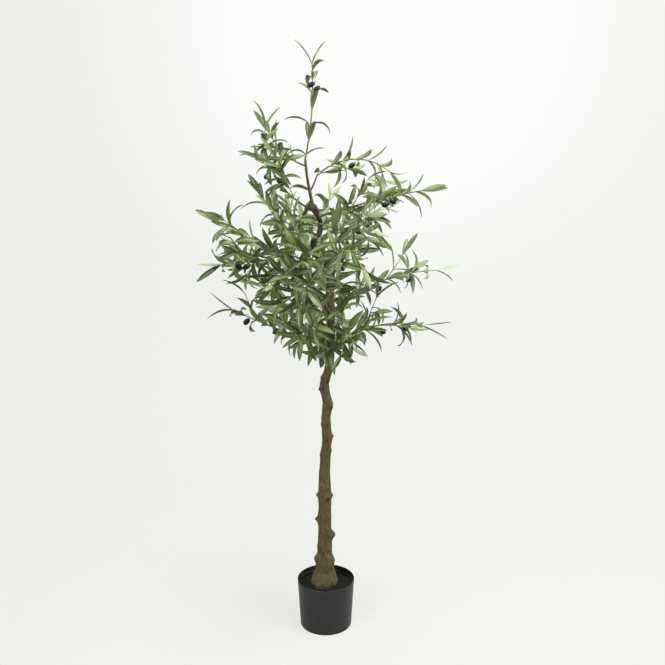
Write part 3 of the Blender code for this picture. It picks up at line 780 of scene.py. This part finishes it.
def fill():
    """The cast fill: a lumpy top under the rim, and plain sides against the wall."""
    outer = wall_radius(FILL_TOP) - POT_WALL - FILL_CLEAR
    low = POT_FLOOR + JOINT_GAP
    rows = [(DISC_RADIUS, low), (wall_radius(low) - POT_WALL - FILL_CLEAR, low)]
    rows += [(outer, FILL_TOP - FILL_EDGE)]
    rows += [(outer * (1 - step / FILL_RINGS) + FILL_MIDDLE, FILL_TOP) for step in range(FILL_RINGS)]
    made = turned("fill_body", rows, POT_SIDES)
    for vert in made.data.vertices:
        if vert.co.z > FILL_TOP - FILL_SKIN:
            lumps = noise.fractal(vert.co * LUMPS_PER_METRE, *LUMPS_NOISE)
            vert.co.z += FILL_LUMPS * (lumps - LUMPS_SUNK)
    bpy.ops.object.shade_smooth_by_angle(angle=math.radians(FILL_EDGE_ANGLE))
    return made


def corners_and_faces(made):
    """The points and faces of a primitive, which is then removed."""
    corners = np.array([vert.co[:] for vert in made.data.vertices])
    faces = [tuple(face.vertices) for face in made.data.polygons]
    bpy.data.objects.remove(made)
    return corners, faces


def grit():
    """Loose grains on the fill, each a small rough stone."""
    drop_selection()
    bpy.ops.mesh.primitive_ico_sphere_add(subdivisions=1, radius=1)
    corners, faces = corners_and_faces(bpy.context.object)
    drawn = np.random.default_rng(GRIT_SEED)
    outer = wall_radius(FILL_TOP) - POT_WALL - GRIT_EDGE
    points, polygons = [], []
    for number in range(GRIT_COUNT):
        radius = outer * math.sqrt(drawn.uniform(GRIT_FREE, 1))
        turn = drawn.uniform(0, math.tau)
        size = drawn.uniform(*GRIT_SIZES)
        place = (radius * math.cos(turn), radius * math.sin(turn), FILL_TOP - size * GRIT_SINK)
        rough = corners * drawn.uniform(*GRIT_ROUGHNESS, (len(corners), 1)) * (1, 1, GRIT_FLATNESS)
        polygons += moved_on(faces, number * len(corners))
        points.append(rough * size + place)
    return mesh_piece("fill_grit", np.vstack(points), polygons, smooth=False)


def placed(name, data, place=(0, 0, 0), turn=(0, 0, 0)):
    """An object in the scene, at a place and turned."""
    made = bpy.data.objects.new(name, data)
    made.location = place
    made.rotation_euler = turn
    bpy.context.scene.collection.objects.link(made)
    return made


def mesh_piece(name, points, faces, smooth=True, **values):
    """A piece from rows of points and faces. Each point may have named values for the material."""
    mesh = bpy.data.meshes.new(name)
    mesh.from_pydata(np.asarray(points).tolist(), [], faces)
    mesh.polygons.foreach_set("use_smooth", [smooth] * len(faces))
    for kind, row in values.items():
        mesh.attributes.new(kind, "FLOAT", "POINT").data.foreach_set("value", np.array(row, np.float32))
    return placed(name, mesh)


def moved_on(faces, first):
    """Faces whose points are counted from a later first point."""
    return [tuple(first + corner for corner in face) for face in faces]


def wall_faces(rows, sides, first=0):
    """Faces of the wall of a tube, whose points are rings one after another."""
    faces = []
    for row in range(rows - 1):
        for side in range(sides):
            a = first + row * sides + side
            b = first + row * sides + (side + 1) % sides
            faces.append((a, b, b + sides, a + sides))
    return faces


def tube_faces(rows, sides, first):
    """Faces of a tube that is closed at both ends."""
    last = first + (rows - 1) * sides
    ends = [tuple(range(first, first + sides))[::-1], tuple(range(last, last + sides))]
    return wall_faces(rows, sides, first) + ends


def ring(middle, along, side, radius, sides):
    """The points of a regular polygon square to a direction."""
    other = np.cross(along, side)
    turns = [math.tau * corner / sides for corner in range(sides)]
    return [middle + towards(side, other, turn) * radius for turn in turns]


def pattern(point, across, along, start):
    """A smooth noise, stretched along the limb."""
    x, y, z = point
    return noise.noise(Vector((x * across, y * across, z * along + start)))


def bark_relief(point, girth):
    """How far the moulded bark stands out and how worn it is, from plates, cracks and broad lumps."""
    plates = 1 - RIDGE_DEPTH * abs(pattern(point, *PLATE_PATTERN))
    cracks = 1 - RIDGE_DEPTH * abs(pattern(point, *CRACK_PATTERN))
    lumps = girth * BARK_LUMPS * pattern(point, *LUMP_PATTERN)
    return BARK_PLATES * plates + BARK_CRACKS * cracks + lumps, plates + CRACK_WEAR * cracks


def trunk_radius(height, heading):
    """The trunk's radius at a height and heading, with its roots, knots and burl."""
    radius = trunk_at(height)[1] * np.interp(height, (TRUNK[0][0], TUCK_TOP), (FOOT_TUCK, 1))
    low = np.interp(height, (TRUNK[0][0], ROOTS_TOP), (1, 0)) ** ROOTS_FLARE
    for root_heading, spread, stands_out in ROOTS:
        away = turn_between(root_heading, heading) / spread
        radius += stands_out * low * (math.exp(-away * away) - ROOTS_TROUGH)
    for knot_height, knot_heading, stands_out in KNOTS + SMALL_KNOTS:
        away = turn_between(knot_heading, heading) / KNOT_SPREAD
        distance = math.hypot((height - knot_height) / KNOT_HEIGHT, away)
        if knot_height > ROUND_KNOTS_TOP:
            radius += stands_out * KNOT_POINT * math.exp(-KNOT_SLOPE * distance)
        else:
            radius += stands_out * math.exp(-distance * distance)
    return radius + BURL_OUT * math.exp(-(((height - BURL_HEIGHT) / BURL_WIDTH) ** 2))


def turn_between(start, end):
    """The turn from one heading to another, from -180 to 180."""
    return (end - start + 180) % 360 - 180


def trunk():
    """The moulded trunk, with the relief of its bark."""
    low, high = TRUNK[0][0], TRUNK[-1][0]
    count = round((high - low) / BARK_STEP)
    points, wear = [], []
    for row in range(count + 1):
        height = low + (high - low) * row / count
        middle = trunk_at(height)[0]
        # Painted shade: the dark wash deepens up the trunk, where the crown shades it.
        darker = np.interp(height, *zip(*TRUNK_PAINTED_SHADE))
        for column in range(TRUNK_SIDES):
            heading = 360 * column / TRUNK_SIDES
            radius = trunk_radius(height, heading)
            out = direction(heading, 0)
            relief, tone = bark_relief(out * radius + (0, 0, height), radius)
            points.append(middle + out * (radius + relief))
            wear.append(tone - darker)
    # The top is a low crown over the last ring.
    last, top = len(points) - TRUNK_SIDES, len(points)
    points.append(np.mean(points[last:], axis=0) + (0, 0, TRUNK_CROWN))
    wear.append(-1)
    faces = wall_faces(count + 1, TRUNK_SIDES)
    faces.append(tuple(range(TRUNK_SIDES))[::-1])
    faces += [(last + c, last + (c + 1) % TRUNK_SIDES, top) for c in range(TRUNK_SIDES)]
    return mesh_piece("trunk_bark", points, faces, wear=wear)


def boughs(canopy):
    """The wired boughs, each swelling where it leaves its parent and closing round its spray's stem."""
    points, faces, wear = [], [], []
    for name, limb in canopy.limbs.items():
        length = length_of(limb)
        rows = max(BOUGH_ROWS, round(length / BOUGH_STEP))
        faces += tube_faces(rows + 1, BOUGH_SIDES, len(points))
        for row in range(rows + 1):
            share = row / rows
            middle, along, side = stem_at(limb, share)
            radius = radius_at(limb, share) * SLIM_BOUGHS.get(name, 1)
            radius *= 1 + BOUGH_SWELL * math.exp(-share * length / BOUGH_SWELL_LENGTH)
            radius *= np.interp((1 - share) * length, (0, BOUGH_END_LENGTH), (BOUGH_END, 1))
            for out in ring(0, along, side, 1, BOUGH_SIDES):
                relief, tone = bark_relief(middle + out * radius, radius)
                points.append(middle + out * (radius + relief * BOUGH_RELIEF))
                # Painted shade: the boughs' dark wash is deeper, where they lie in the crown's shade.
                wear.append(tone - BOUGH_PAINTED_SHADE)
    return mesh_piece("bough_bark", points, faces, wear=wear)


def leaf_points(leaf, drawn):
    """The points of one leaf: five across its upper side and one under its rib, at each station."""
    count = len(leaf.line)
    up = -leaf.normals
    swing = drawn.uniform(-1, 1)
    turns = np.linspace(0, drawn.uniform(*LEAF_WAVES), count) + drawn.uniform(*WAVE_STARTS)
    wave = swing * np.sin(turns)
    side_bend = drawn.uniform(-1, 1) * LEAF_SIDE_BEND * np.linspace(0, 1, count) ** 2
    line = leaf.line + leaf.edges * side_bend[:, None]
    points = []
    for across in LEAF_COLUMNS:
        fold = LEAF_FOLD * abs(across) ** FOLD_CURVE + LEAF_WAVE * wave * across
        spread = leaf.edges * across + up * fold[:, None]
        points.append(line + spread * (leaf.half_widths * LEAF_FULLNESS)[:, None])
    points.append(line - up * LEAF_THICKNESS)
    return np.stack(points, axis=1).reshape(-1, 3)


def leaf_faces(stations):
    """The faces of one leaf, upper side first, then its underside and ends."""
    upper, under = [], []
    width = len(LEAF_COLUMNS) + 1
    rib, right = width - 1, width - 2
    for station in range(stations - 1):
        a, b = station * width, (station + 1) * width
        upper += [(a + c, b + c, b + c + 1, a + c + 1) for c in range(right)]
        under += [(a, a + rib, b + rib, b), (a + rib, a + right, b + right, b + rib)]
    end = (stations - 1) * width
    under.append(tuple(range(width)))
    under.append(tuple(range(end + width - 1, end - 1, -1)))
    return upper, under


def leaves(canopy):
    """All leaves as one piece. Each leaf takes the green of its spray, and young tips are yellower."""
    stations = len(LEAF_OUTLINE)
    upper, under = leaf_faces(stations)
    per_leaf = stations * (len(LEAF_COLUMNS) + 1)
    drawn = np.random.default_rng(LEAF_SEED)
    points, faces, slots, shades, uvs = [], [], [], [], []
    across = [(column + 1) / 2 for column in LEAF_COLUMNS] + [0.5]
    uv_of_leaf = [(u, station / (stations - 1)) for station in range(stations) for u in across]
    greens = list(LEAF_GREENS)
    for name, grown in canopy.leaves.items():
        green = greens.index(SPRAY_GREENS.get(name, "middle"))
        for leaf in grown:
            faces += moved_on(upper + under, len(points) * per_leaf)
            points.append(leaf_points(leaf, drawn))
            young = leaf.young and drawn.random() < YOUNG_SHARE
            number = greens.index("young") if young else green
            slots += [2 * number] * len(upper) + [2 * number + 1] * len(under)
            shades += [drawn.uniform(0, 1)] * per_leaf
            uvs += uv_of_leaf
    made = mesh_piece("olive_leaves", np.vstack(points), faces, shade=shades)
    made.data.polygons.foreach_set("material_index", slots)
    layer = made.data.uv_layers.new(name="leaf")
    corners = np.empty(len(made.data.loops), np.int32)
    made.data.loops.foreach_get("vertex_index", corners)
    layer.data.foreach_set("uv", np.array(uvs)[corners].ravel())
    crease(made, len(LEAF_COLUMNS) + 1, stations)
    return made


def crease(made, width, stations):
    """Marks the margins, the rib and both ends of every leaf as sharp edges."""
    ends = np.empty(len(made.data.edges) * 2, np.int32)
    made.data.edges.foreach_get("vertices", ends)
    column, station = ends.reshape(-1, 2) % width, ends.reshape(-1, 2) // width % stations
    lengthwise = (column[:, 0] == column[:, 1]) & np.isin(column[:, 0], SHARP_COLUMNS)
    at_an_end = (station[:, 0] == station[:, 1]) & np.isin(station[:, 0], (0, stations - 1))
    sharp = lengthwise | at_an_end
    made.data.attributes.new("sharp_edge", "BOOLEAN", "EDGE").data.foreach_set("value", sharp)


def stems(canopy):
    """All stems and twigs as one piece: brown near their limb, green towards their tips."""
    points, faces, ages = [], [], []
    for grown in canopy.stems.values():
        for number, stem in enumerate(grown):
            sides, (start, end) = (TWIG_SIDES, TWIG_AGES) if number else (STEM_SIDES, STEM_AGES)
            rows = max(STEM_ROWS, round(length_of(stem) / STEM_STEP)) + 1
            faces += tube_faces(rows, sides, len(points))
            for share in np.linspace(0, 1, rows):
                points += ring(*stem_at(stem, share), radius_at(stem, share), sides)
                ages += [start + (end - start) * share] * sides
    # A sleeve holds each pair of leaves.
    for node in canopy.nodes:
        faces += tube_faces(len(SLEEVE), TWIG_SIDES, len(points))
        for share, wider in SLEEVE:
            middle = node.place + node.along * SLEEVE_LENGTH * share
            points += ring(middle, node.along, node.side, node.radius + SLEEVE_OUT * wider, TWIG_SIDES)
            ages += [SLEEVE_AGE] * TWIG_SIDES
    return mesh_piece("stems", points, faces, age=ages)


def olives(canopy):
    """The olives, each a plump drupe on a thin bent stalk, and all stalks as a second piece."""
    drop_selection()
    bpy.ops.mesh.primitive_uv_sphere_add(segments=OLIVE_SIDES, ring_count=OLIVE_ROWS, radius=1)
    corners, faces = corners_and_faces(bpy.context.object)
    heights = corners[:, 2:]
    corners[:, :2] *= 1 - OLIVE_TAPER * heights - OLIVE_POINT * heights**2
    drawn = np.random.default_rng(OLIVE_SEED)
    points, polygons, stalk_points, stalk_faces = [], [], [], []
    for olive in all_of(canopy.olives):
        lean = drawn.choice((-1, 1)) * drawn.uniform(*OLIVE_LEAN)
        tilt = unit(np.array((lean, drawn.uniform(*OLIVE_TILT), 1.0)))
        side = square_to(tilt)
        turn = np.column_stack((side, np.cross(tilt, side), tilt))
        size = drawn.uniform(*OLIVE_SIZES)
        half_width = OLIVE_WIDTH / 2 * OLIVE_SLIMNESS
        shape = corners * (half_width, half_width, OLIVE_LENGTH / 2) * size
        polygons += moved_on(faces, len(points) * len(corners))
        points.append(shape @ turn.T + olive.middle)
        stalk_faces += tube_faces(STALK_ROWS, STALK_SIDES, len(stalk_points))
        stalk_points += stalk(olive.root, olive.middle + tilt * OLIVE_LENGTH * STALK_SEAT * size)
    fruit = mesh_piece("olives", np.vstack(points), polygons)
    ages = [STALK_AGE] * len(stalk_points)
    return fruit, mesh_piece("olive_stalks", stalk_points, stalk_faces, age=ages)


def stalk(root, top):
    """The rings of a stalk that rises a little off its stem and bends over to the olive's top."""
    out = (top - root) * (1, 1, 0)
    bend = root + out * STALK_BEND + (0, 0, STALK_RISE + max(0, top[2] - root[2]))
    rings = []
    for share in np.linspace(0, 1, STALK_ROWS):
        middle = root * (1 - share) ** 2 + bend * 2 * share * (1 - share) + top * share**2
        along = unit((bend - root) * (1 - share) + (top - bend) * share)
        rings += ring(middle, along, square_to(along), STALK_RADIUS, STALK_SIDES)
    return rings


def linear(code):
    """A colour written as sRGB hex, as linear red, green, blue and alpha."""
    parts = [int(code[at : at + 2], 16) / 255 for at in (1, 3, 5)]
    parts = [part / 12.92 if part <= 0.04045 else ((part + 0.055) / 1.055) ** 2.4 for part in parts]
    return (*parts, 1)


def cells(size):
    """A pattern's scale from the real size of its grain in millimetres."""
    return 1000 / size


def add(tree, kind, inputs=None, out=None, **settings):
    """Adds a node with its settings and inputs, and gives the output asked for or else its first."""
    made = tree.nodes.new("ShaderNode" + kind)
    for name, value in settings.items():
        setattr(made, name, value)
    for socket, value in (inputs or {}).items():
        if isinstance(value, bpy.types.NodeSocket):
            tree.links.new(value, made.inputs[socket])
        else:
            made.inputs[socket].default_value = value
    enabled = [socket for socket in made.outputs if socket.enabled]
    return made.outputs[out] if out else next(iter(enabled), None)


def new_material(name):
    """An empty material, its nodes, and the place that its patterns read."""
    made = bpy.data.materials.new(name)
    made.use_nodes = True
    made.node_tree.nodes.clear()
    return made, made.node_tree, add(made.node_tree, "TexCoord", out="Object")


def layered(tree, base, paints):
    """A base colour under paints, each laid on as strongly as its share says."""
    colour = linear(base)
    for share, tint in paints:
        colour = add(tree, "Mix", {0: share, 6: colour, 7: linear(tint)}, data_type="RGBA")
    return colour


def painted(made, base, paints, roughness, specular, relief):
    """Gives a material its layers of paint, its gloss and its relief."""
    tree = made.node_tree
    colour = layered(tree, base, paints)
    height, strength, distance = relief
    normal = add(tree, "Bump", {"Height": height, "Strength": strength, "Distance": distance})
    inputs = {"Base Color": colour, "Roughness": roughness, "Specular IOR Level": specular}
    shader = add(tree, "BsdfPrincipled", {**inputs, "Normal": normal})
    add(tree, "OutputMaterial", {"Surface": shader})
    return made


def printed_leaf(name, tone, margin, roughness):
    """Heat-pressed polyester, printed. It gives a satin face, slanting side veins and a paler rib."""
    made, tree, place = new_material(name)
    uv = add(tree, "UVMap", uv_map="leaf")
    across = add(tree, "SeparateXYZ", {"Vector": uv}, "X")
    along = add(tree, "SeparateXYZ", {"Vector": uv}, "Y")
    off_rib = add(tree, "Math", {0: across, 1: 0.5}, operation="SUBTRACT")
    off_rib = add(tree, "Math", {0: off_rib}, operation="ABSOLUTE")
    # Each leaf is a little lighter or darker than the next.
    shade = add(tree, "Attribute", out="Fac", attribute_name="shade")
    shade = add(tree, "Math", {0: shade, 1: 0.7}, operation="MULTIPLY")
    # The print darkens towards the margins.
    rim = add(tree, "MapRange", {0: off_rib, 1: 0.28, 2: 0.5, 3: 0, 4: 0.35})
    # Side veins lie 3 mm apart. They are drawn 10 mm apart, so that they show, and slant to the tip.
    rise = add(tree, "Math", {0: along, 1: 50}, operation="MULTIPLY")
    slant = add(tree, "Math", {0: off_rib, 1: 16}, operation="MULTIPLY")
    phase = add(tree, "Math", {0: rise, 1: slant}, operation="SUBTRACT")
    wave = add(tree, "Math", {0: phase}, operation="SINE")
    vein = add(tree, "MapRange", {0: wave, 1: 0.2, 2: 1, 3: 0, 4: 0.05})
    rib = add(tree, "MapRange", {0: off_rib, 1: 0.02, 2: 0.07, 3: 0.45, 4: 0})
    # The pressed cloth is never quite flat.
    dents = add(tree, "TexNoise", {"Vector": place, "Scale": cells(9), "Detail": 2})
    paints = ((shade, margin), (rim, margin), (vein, RIB_COLOUR), (rib, RIB_COLOUR))
    return painted(made, tone, paints, roughness, specular=0.44, relief=(dents, 0.25, 0.0006))


def leaf_materials():
    """The upper side and the underside of each green, in the order that the leaves' faces count them."""
    made = []
    for name, (upper, upper_margin, under, under_margin) in LEAF_GREENS.items():
        made.append(printed_leaf(f"printed polyester leaf, {name}", upper, upper_margin, 0.42))
        made.append(printed_leaf(f"polyester leaf underside, {name}", under, under_margin, 0.55))
    return made


def moulded_bark():
    """Moulded foam bark, painted. It gives a dull dark brown, with ochre dragged over its ridges."""
    made, tree, place = new_material("painted foam bark")
    # Brown and olive brown lie in patches about 60 mm across and three times as long.
    long_way = add(tree, "Mapping", {"Vector": place, "Scale": (1, 1, 0.3)})
    patches = add(tree, "TexNoise", {"Vector": long_way, "Scale": cells(60), "Detail": 3})
    patches = add(tree, "MapRange", {0: patches, 1: 0.35, 2: 0.65})
    # Ochre strokes are about 5 mm wide and three times as long, and lie in rubbed patches of 22 mm.
    strokes_way = add(tree, "Mapping", {"Vector": place, "Scale": (1, 1, 0.35)})
    strokes = add(tree, "TexNoise", {"Vector": strokes_way, "Scale": cells(5), "Detail": 3})
    strokes = add(tree, "MapRange", {0: strokes, 1: 0.48, 2: 0.68, 3: 0, 4: 0.9})
    rubbed = add(tree, "TexNoise", {"Vector": long_way, "Scale": cells(22), "Detail": 2})
    rubbed = add(tree, "MapRange", {0: rubbed, 1: 0.38, 2: 0.62, 3: 0.15, 4: 1})
    strokes = add(tree, "Math", {0: strokes, 1: rubbed}, operation="MULTIPLY")
    # Dark wash stays in the valleys of the relief, and deepens as painted shade up in the crown and on the
    # boughs.
    wear = add(tree, "Attribute", out="Fac", attribute_name="wear")
    wash_and_shade = add(tree, "MapRange", {0: wear, 1: -0.6, 2: 0.6, 3: 0.9, 4: 0})
    # The foam's grain is 0.7 mm. It is drawn at 1.5 mm, so that it shows.
    grain_way = add(tree, "Mapping", {"Vector": place, "Scale": (1, 1, 0.4)})
    grain = add(tree, "TexNoise", {"Vector": grain_way, "Scale": cells(1.5), "Detail": 3})
    specks = add(tree, "MapRange", {0: grain, 1: 0.5, 2: 0.75, 3: 0, 4: 0.5})
    paints = ((patches, "#554c32"), (strokes, "#78663c"), (wash_and_shade, "#1f1a13"), (specks, "#312b1f"))
    return painted(made, "#48422b", paints, roughness=0.7, specular=0.25, relief=(grain, 0.5, 0.0006))


def coated_stem():
    """Wire in moulded plastic. It gives brown at the limb, fresh green at the tip and pale sleeves."""
    made, tree, place = new_material("plastic-coated wire stem")
    age = add(tree, "Attribute", out="Fac", attribute_name="age")
    older = add(tree, "MapRange", {0: age, 1: 0.25, 2: 0.6})
    fresh = add(tree, "MapRange", {0: age, 1: 0.6, 2: 1})
    sleeve = add(tree, "MapRange", {0: age, 1: 1.2, 2: 1.8})
    blotches = add(tree, "TexNoise", {"Vector": place, "Scale": cells(3), "Detail": 3})
    darker = add(tree, "MapRange", {0: blotches, 1: 0.45, 2: 0.7, 3: 0, 4: 0.35})
    paints = ((older, "#7d7e45"), (fresh, "#a0aa64"), (sleeve, "#90975f"), (darker, "#4c4428"))
    return painted(made, "#4a4129", paints, roughness=0.5, specular=0.45, relief=(blotches, 0.3, 0.0004))


def lacquered_olive():
    """Lacquered foam. It gives near black with a soft gloss, under a faint grey bloom."""
    made, tree, place = new_material("lacquered foam olive")
    bloom = add(tree, "TexNoise", {"Vector": place, "Scale": cells(8), "Detail": 4})
    pale = add(tree, "MapRange", {0: bloom, 1: 0.45, 2: 0.75, 3: 0, 4: 0.5})
    gloss = add(tree, "MapRange", {0: bloom, 1: 0.3, 2: 0.7, 3: 0.34, 4: 0.46})
    dimples = add(tree, "TexNoise", {"Vector": place, "Scale": cells(6), "Detail": 1})
    paints = [(pale, "#191b17")]
    return painted(made, "#0d0e0c", paints, gloss, specular=0.32, relief=(dimples, 0.1, 0.0003))


def black_polypropylene():
    """Thin injection-moulded polypropylene. It gives a dull satin black, with faint flow marks."""
    made, tree, place = new_material("black moulded polypropylene")
    up_the_wall = add(tree, "Mapping", {"Vector": place, "Scale": (1, 1, 0.15)})
    flow = add(tree, "TexNoise", {"Vector": up_the_wall, "Scale": cells(30), "Detail": 4})
    flow = add(tree, "MapRange", {0: flow, 1: 0.4, 2: 0.7, 3: 0, 4: 0.6})
    scuffs = add(tree, "TexNoise", {"Vector": place, "Scale": cells(11), "Detail": 4})
    satin = add(tree, "MapRange", {0: scuffs, 1: 0.3, 2: 0.7, 3: 0.36, 4: 0.48})
    # The mould's fine spark texture is drawn at 1 mm, so that it shows.
    spark = add(tree, "TexNoise", {"Vector": place, "Scale": cells(1), "Detail": 3})
    paints = [(flow, "#182017")]
    return painted(made, "#0f140f", paints, satin, specular=0.55, relief=(spark, 0.08, 0.0002))


def dark_fill(name, dark, light):
    """Cast mix with ground cork on top. It gives a rough matt black, with a few lighter grains."""
    made, tree, place = new_material(name)
    # The grains are 1 mm. They are drawn at 2.4 mm, so that they show.
    grains = add(tree, "TexNoise", {"Vector": place, "Scale": cells(2.4), "Detail": 5})
    lighter = add(tree, "MapRange", {0: grains, 1: 0.45, 2: 0.7})
    paints = [(lighter, light)]
    return painted(made, dark, paints, roughness=0.9, specular=0.3, relief=(grains, 0.6, 0.001))


def paper_floor():
    """Pale background paper. It gives a faint soft shadow, and clears into the surroundings."""
    made, tree, place = new_material("pale background paper")
    away = add(tree, "VectorMath", {0: place}, "Value", operation="LENGTH")
    clear = add(tree, "MapRange", {0: away, 1: 0.2, 2: 1.6, 3: 0.8, 4: 1})
    paper = add(tree, "BsdfDiffuse", {"Color": linear(FLOOR_COLOUR)})
    mixed = add(tree, "MixShader", {0: clear, 1: paper, 2: add(tree, "BsdfTransparent")})
    add(tree, "OutputMaterial", {"Surface": mixed})
    return made


def floor():
    """A round floor under the pot, which isn't part of the tree."""
    drop_selection()
    bpy.ops.mesh.primitive_circle_add(vertices=FLOOR_SIDES, radius=FLOOR_RADIUS, fill_type="NGON")
    made = bpy.context.object
    made.name = "studio_floor"
    made.data.materials.append(paper_floor())


def surroundings():
    """Pale surroundings, which look brighter than they light the tree, and shine in it half as much."""
    world = bpy.data.worlds.new("pale studio")
    world.use_nodes = True
    tree = world.node_tree
    tree.nodes.clear()
    lit = add(tree, "Background", {"Color": linear(WORLD_COLOUR), "Strength": WORLD_LIGHT})
    towards = add(tree, "TexCoord", out="Generated")
    middle = Vector(GLOW_DIRECTION).normalized()
    near = add(tree, "VectorMath", {0: towards, 1: middle}, "Value", operation="DOT_PRODUCT")
    edge = math.cos(math.radians(GLOW_WIDTH))
    near = add(tree, "MapRange", {0: near, 1: edge, 2: 1}, interpolation_type="SMOOTHSTEP")
    sideways = add(tree, "SeparateXYZ", {"Vector": towards}, "X")
    side = add(tree, "MapRange", {0: sideways, 1: -0.35, 2: 0.35})
    colour = layered(tree, BACKDROP_LEFT, ((side, BACKDROP_RIGHT), (near, GLOW_COLOUR)))
    seen = add(tree, "Background", {"Color": colour, "Strength": 1})
    straight = add(tree, "LightPath", out="Is Camera Ray")
    sheen = add(tree, "LightPath", out="Is Glossy Ray")
    share = add(tree, "Math", {0: sheen, 1: WORLD_SHEEN, 2: straight}, operation="MULTIPLY_ADD")
    mixed = add(tree, "MixShader", {0: share, 1: lit, 2: seen})
    add(tree, "OutputWorld", {"Surface": mixed})
    bpy.context.scene.world = world


def lamp(name, place, size, power):
    """A round soft light that faces the middle of the tree."""
    light = bpy.data.lights.new(name, "AREA")
    light.shape = "DISK"
    light.size = size
    light.energy = power
    placed(name, light, place, (Vector(LAMP_AIM) - Vector(place)).to_track_quat("-Z", "Y").to_euler())


def camera():
    """The camera at the photograph's angle and distance."""
    lens = bpy.data.cameras.new("camera")
    lens.lens = CAMERA_LENS
    turn = (math.radians(90 - CAMERA_TILT), 0, 0)
    bpy.context.scene.camera = placed("camera", lens, CAMERA_PLACE, turn)


def dress(made, materials, slot, *nodes):
    """Gives a piece its finish, fixes it to the tree's body, and hides the solids that it stands for."""
    for finish in materials:
        made.data.materials.append(finish)
    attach(made, "root")
    if nodes:
        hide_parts(*nodes)


canopy = Canopy()
bark = moulded_bark()
wire = coated_stem()
fruit, stalks = olives(canopy)
dress(pot(), [black_polypropylene()], "pot", "pot")
dress(fill(), [dark_fill("cast dark fill", "#090a07", "#1f1e17")], "fill", "pot_fill")
dress(grit(), [dark_fill("ground cork", "#11100c", "#3a372d")], "fill")
dress(trunk(), [bark], "bark", "trunk")
dress(boughs(canopy), [bark], "bark", *BOUGHS)
dress(leaves(canopy), leaf_materials(), "foliage", *SPRAYS)
dress(stems(canopy), [wire], "foliage")
dress(stalks, [wire], "foliage")
dress(fruit, [lacquered_olive()], "foliage")
floor()
surroundings()
for name, row in LAMPS.items():
    lamp(name, *row)
camera()
bpy.context.scene.view_settings.view_transform = "Standard"
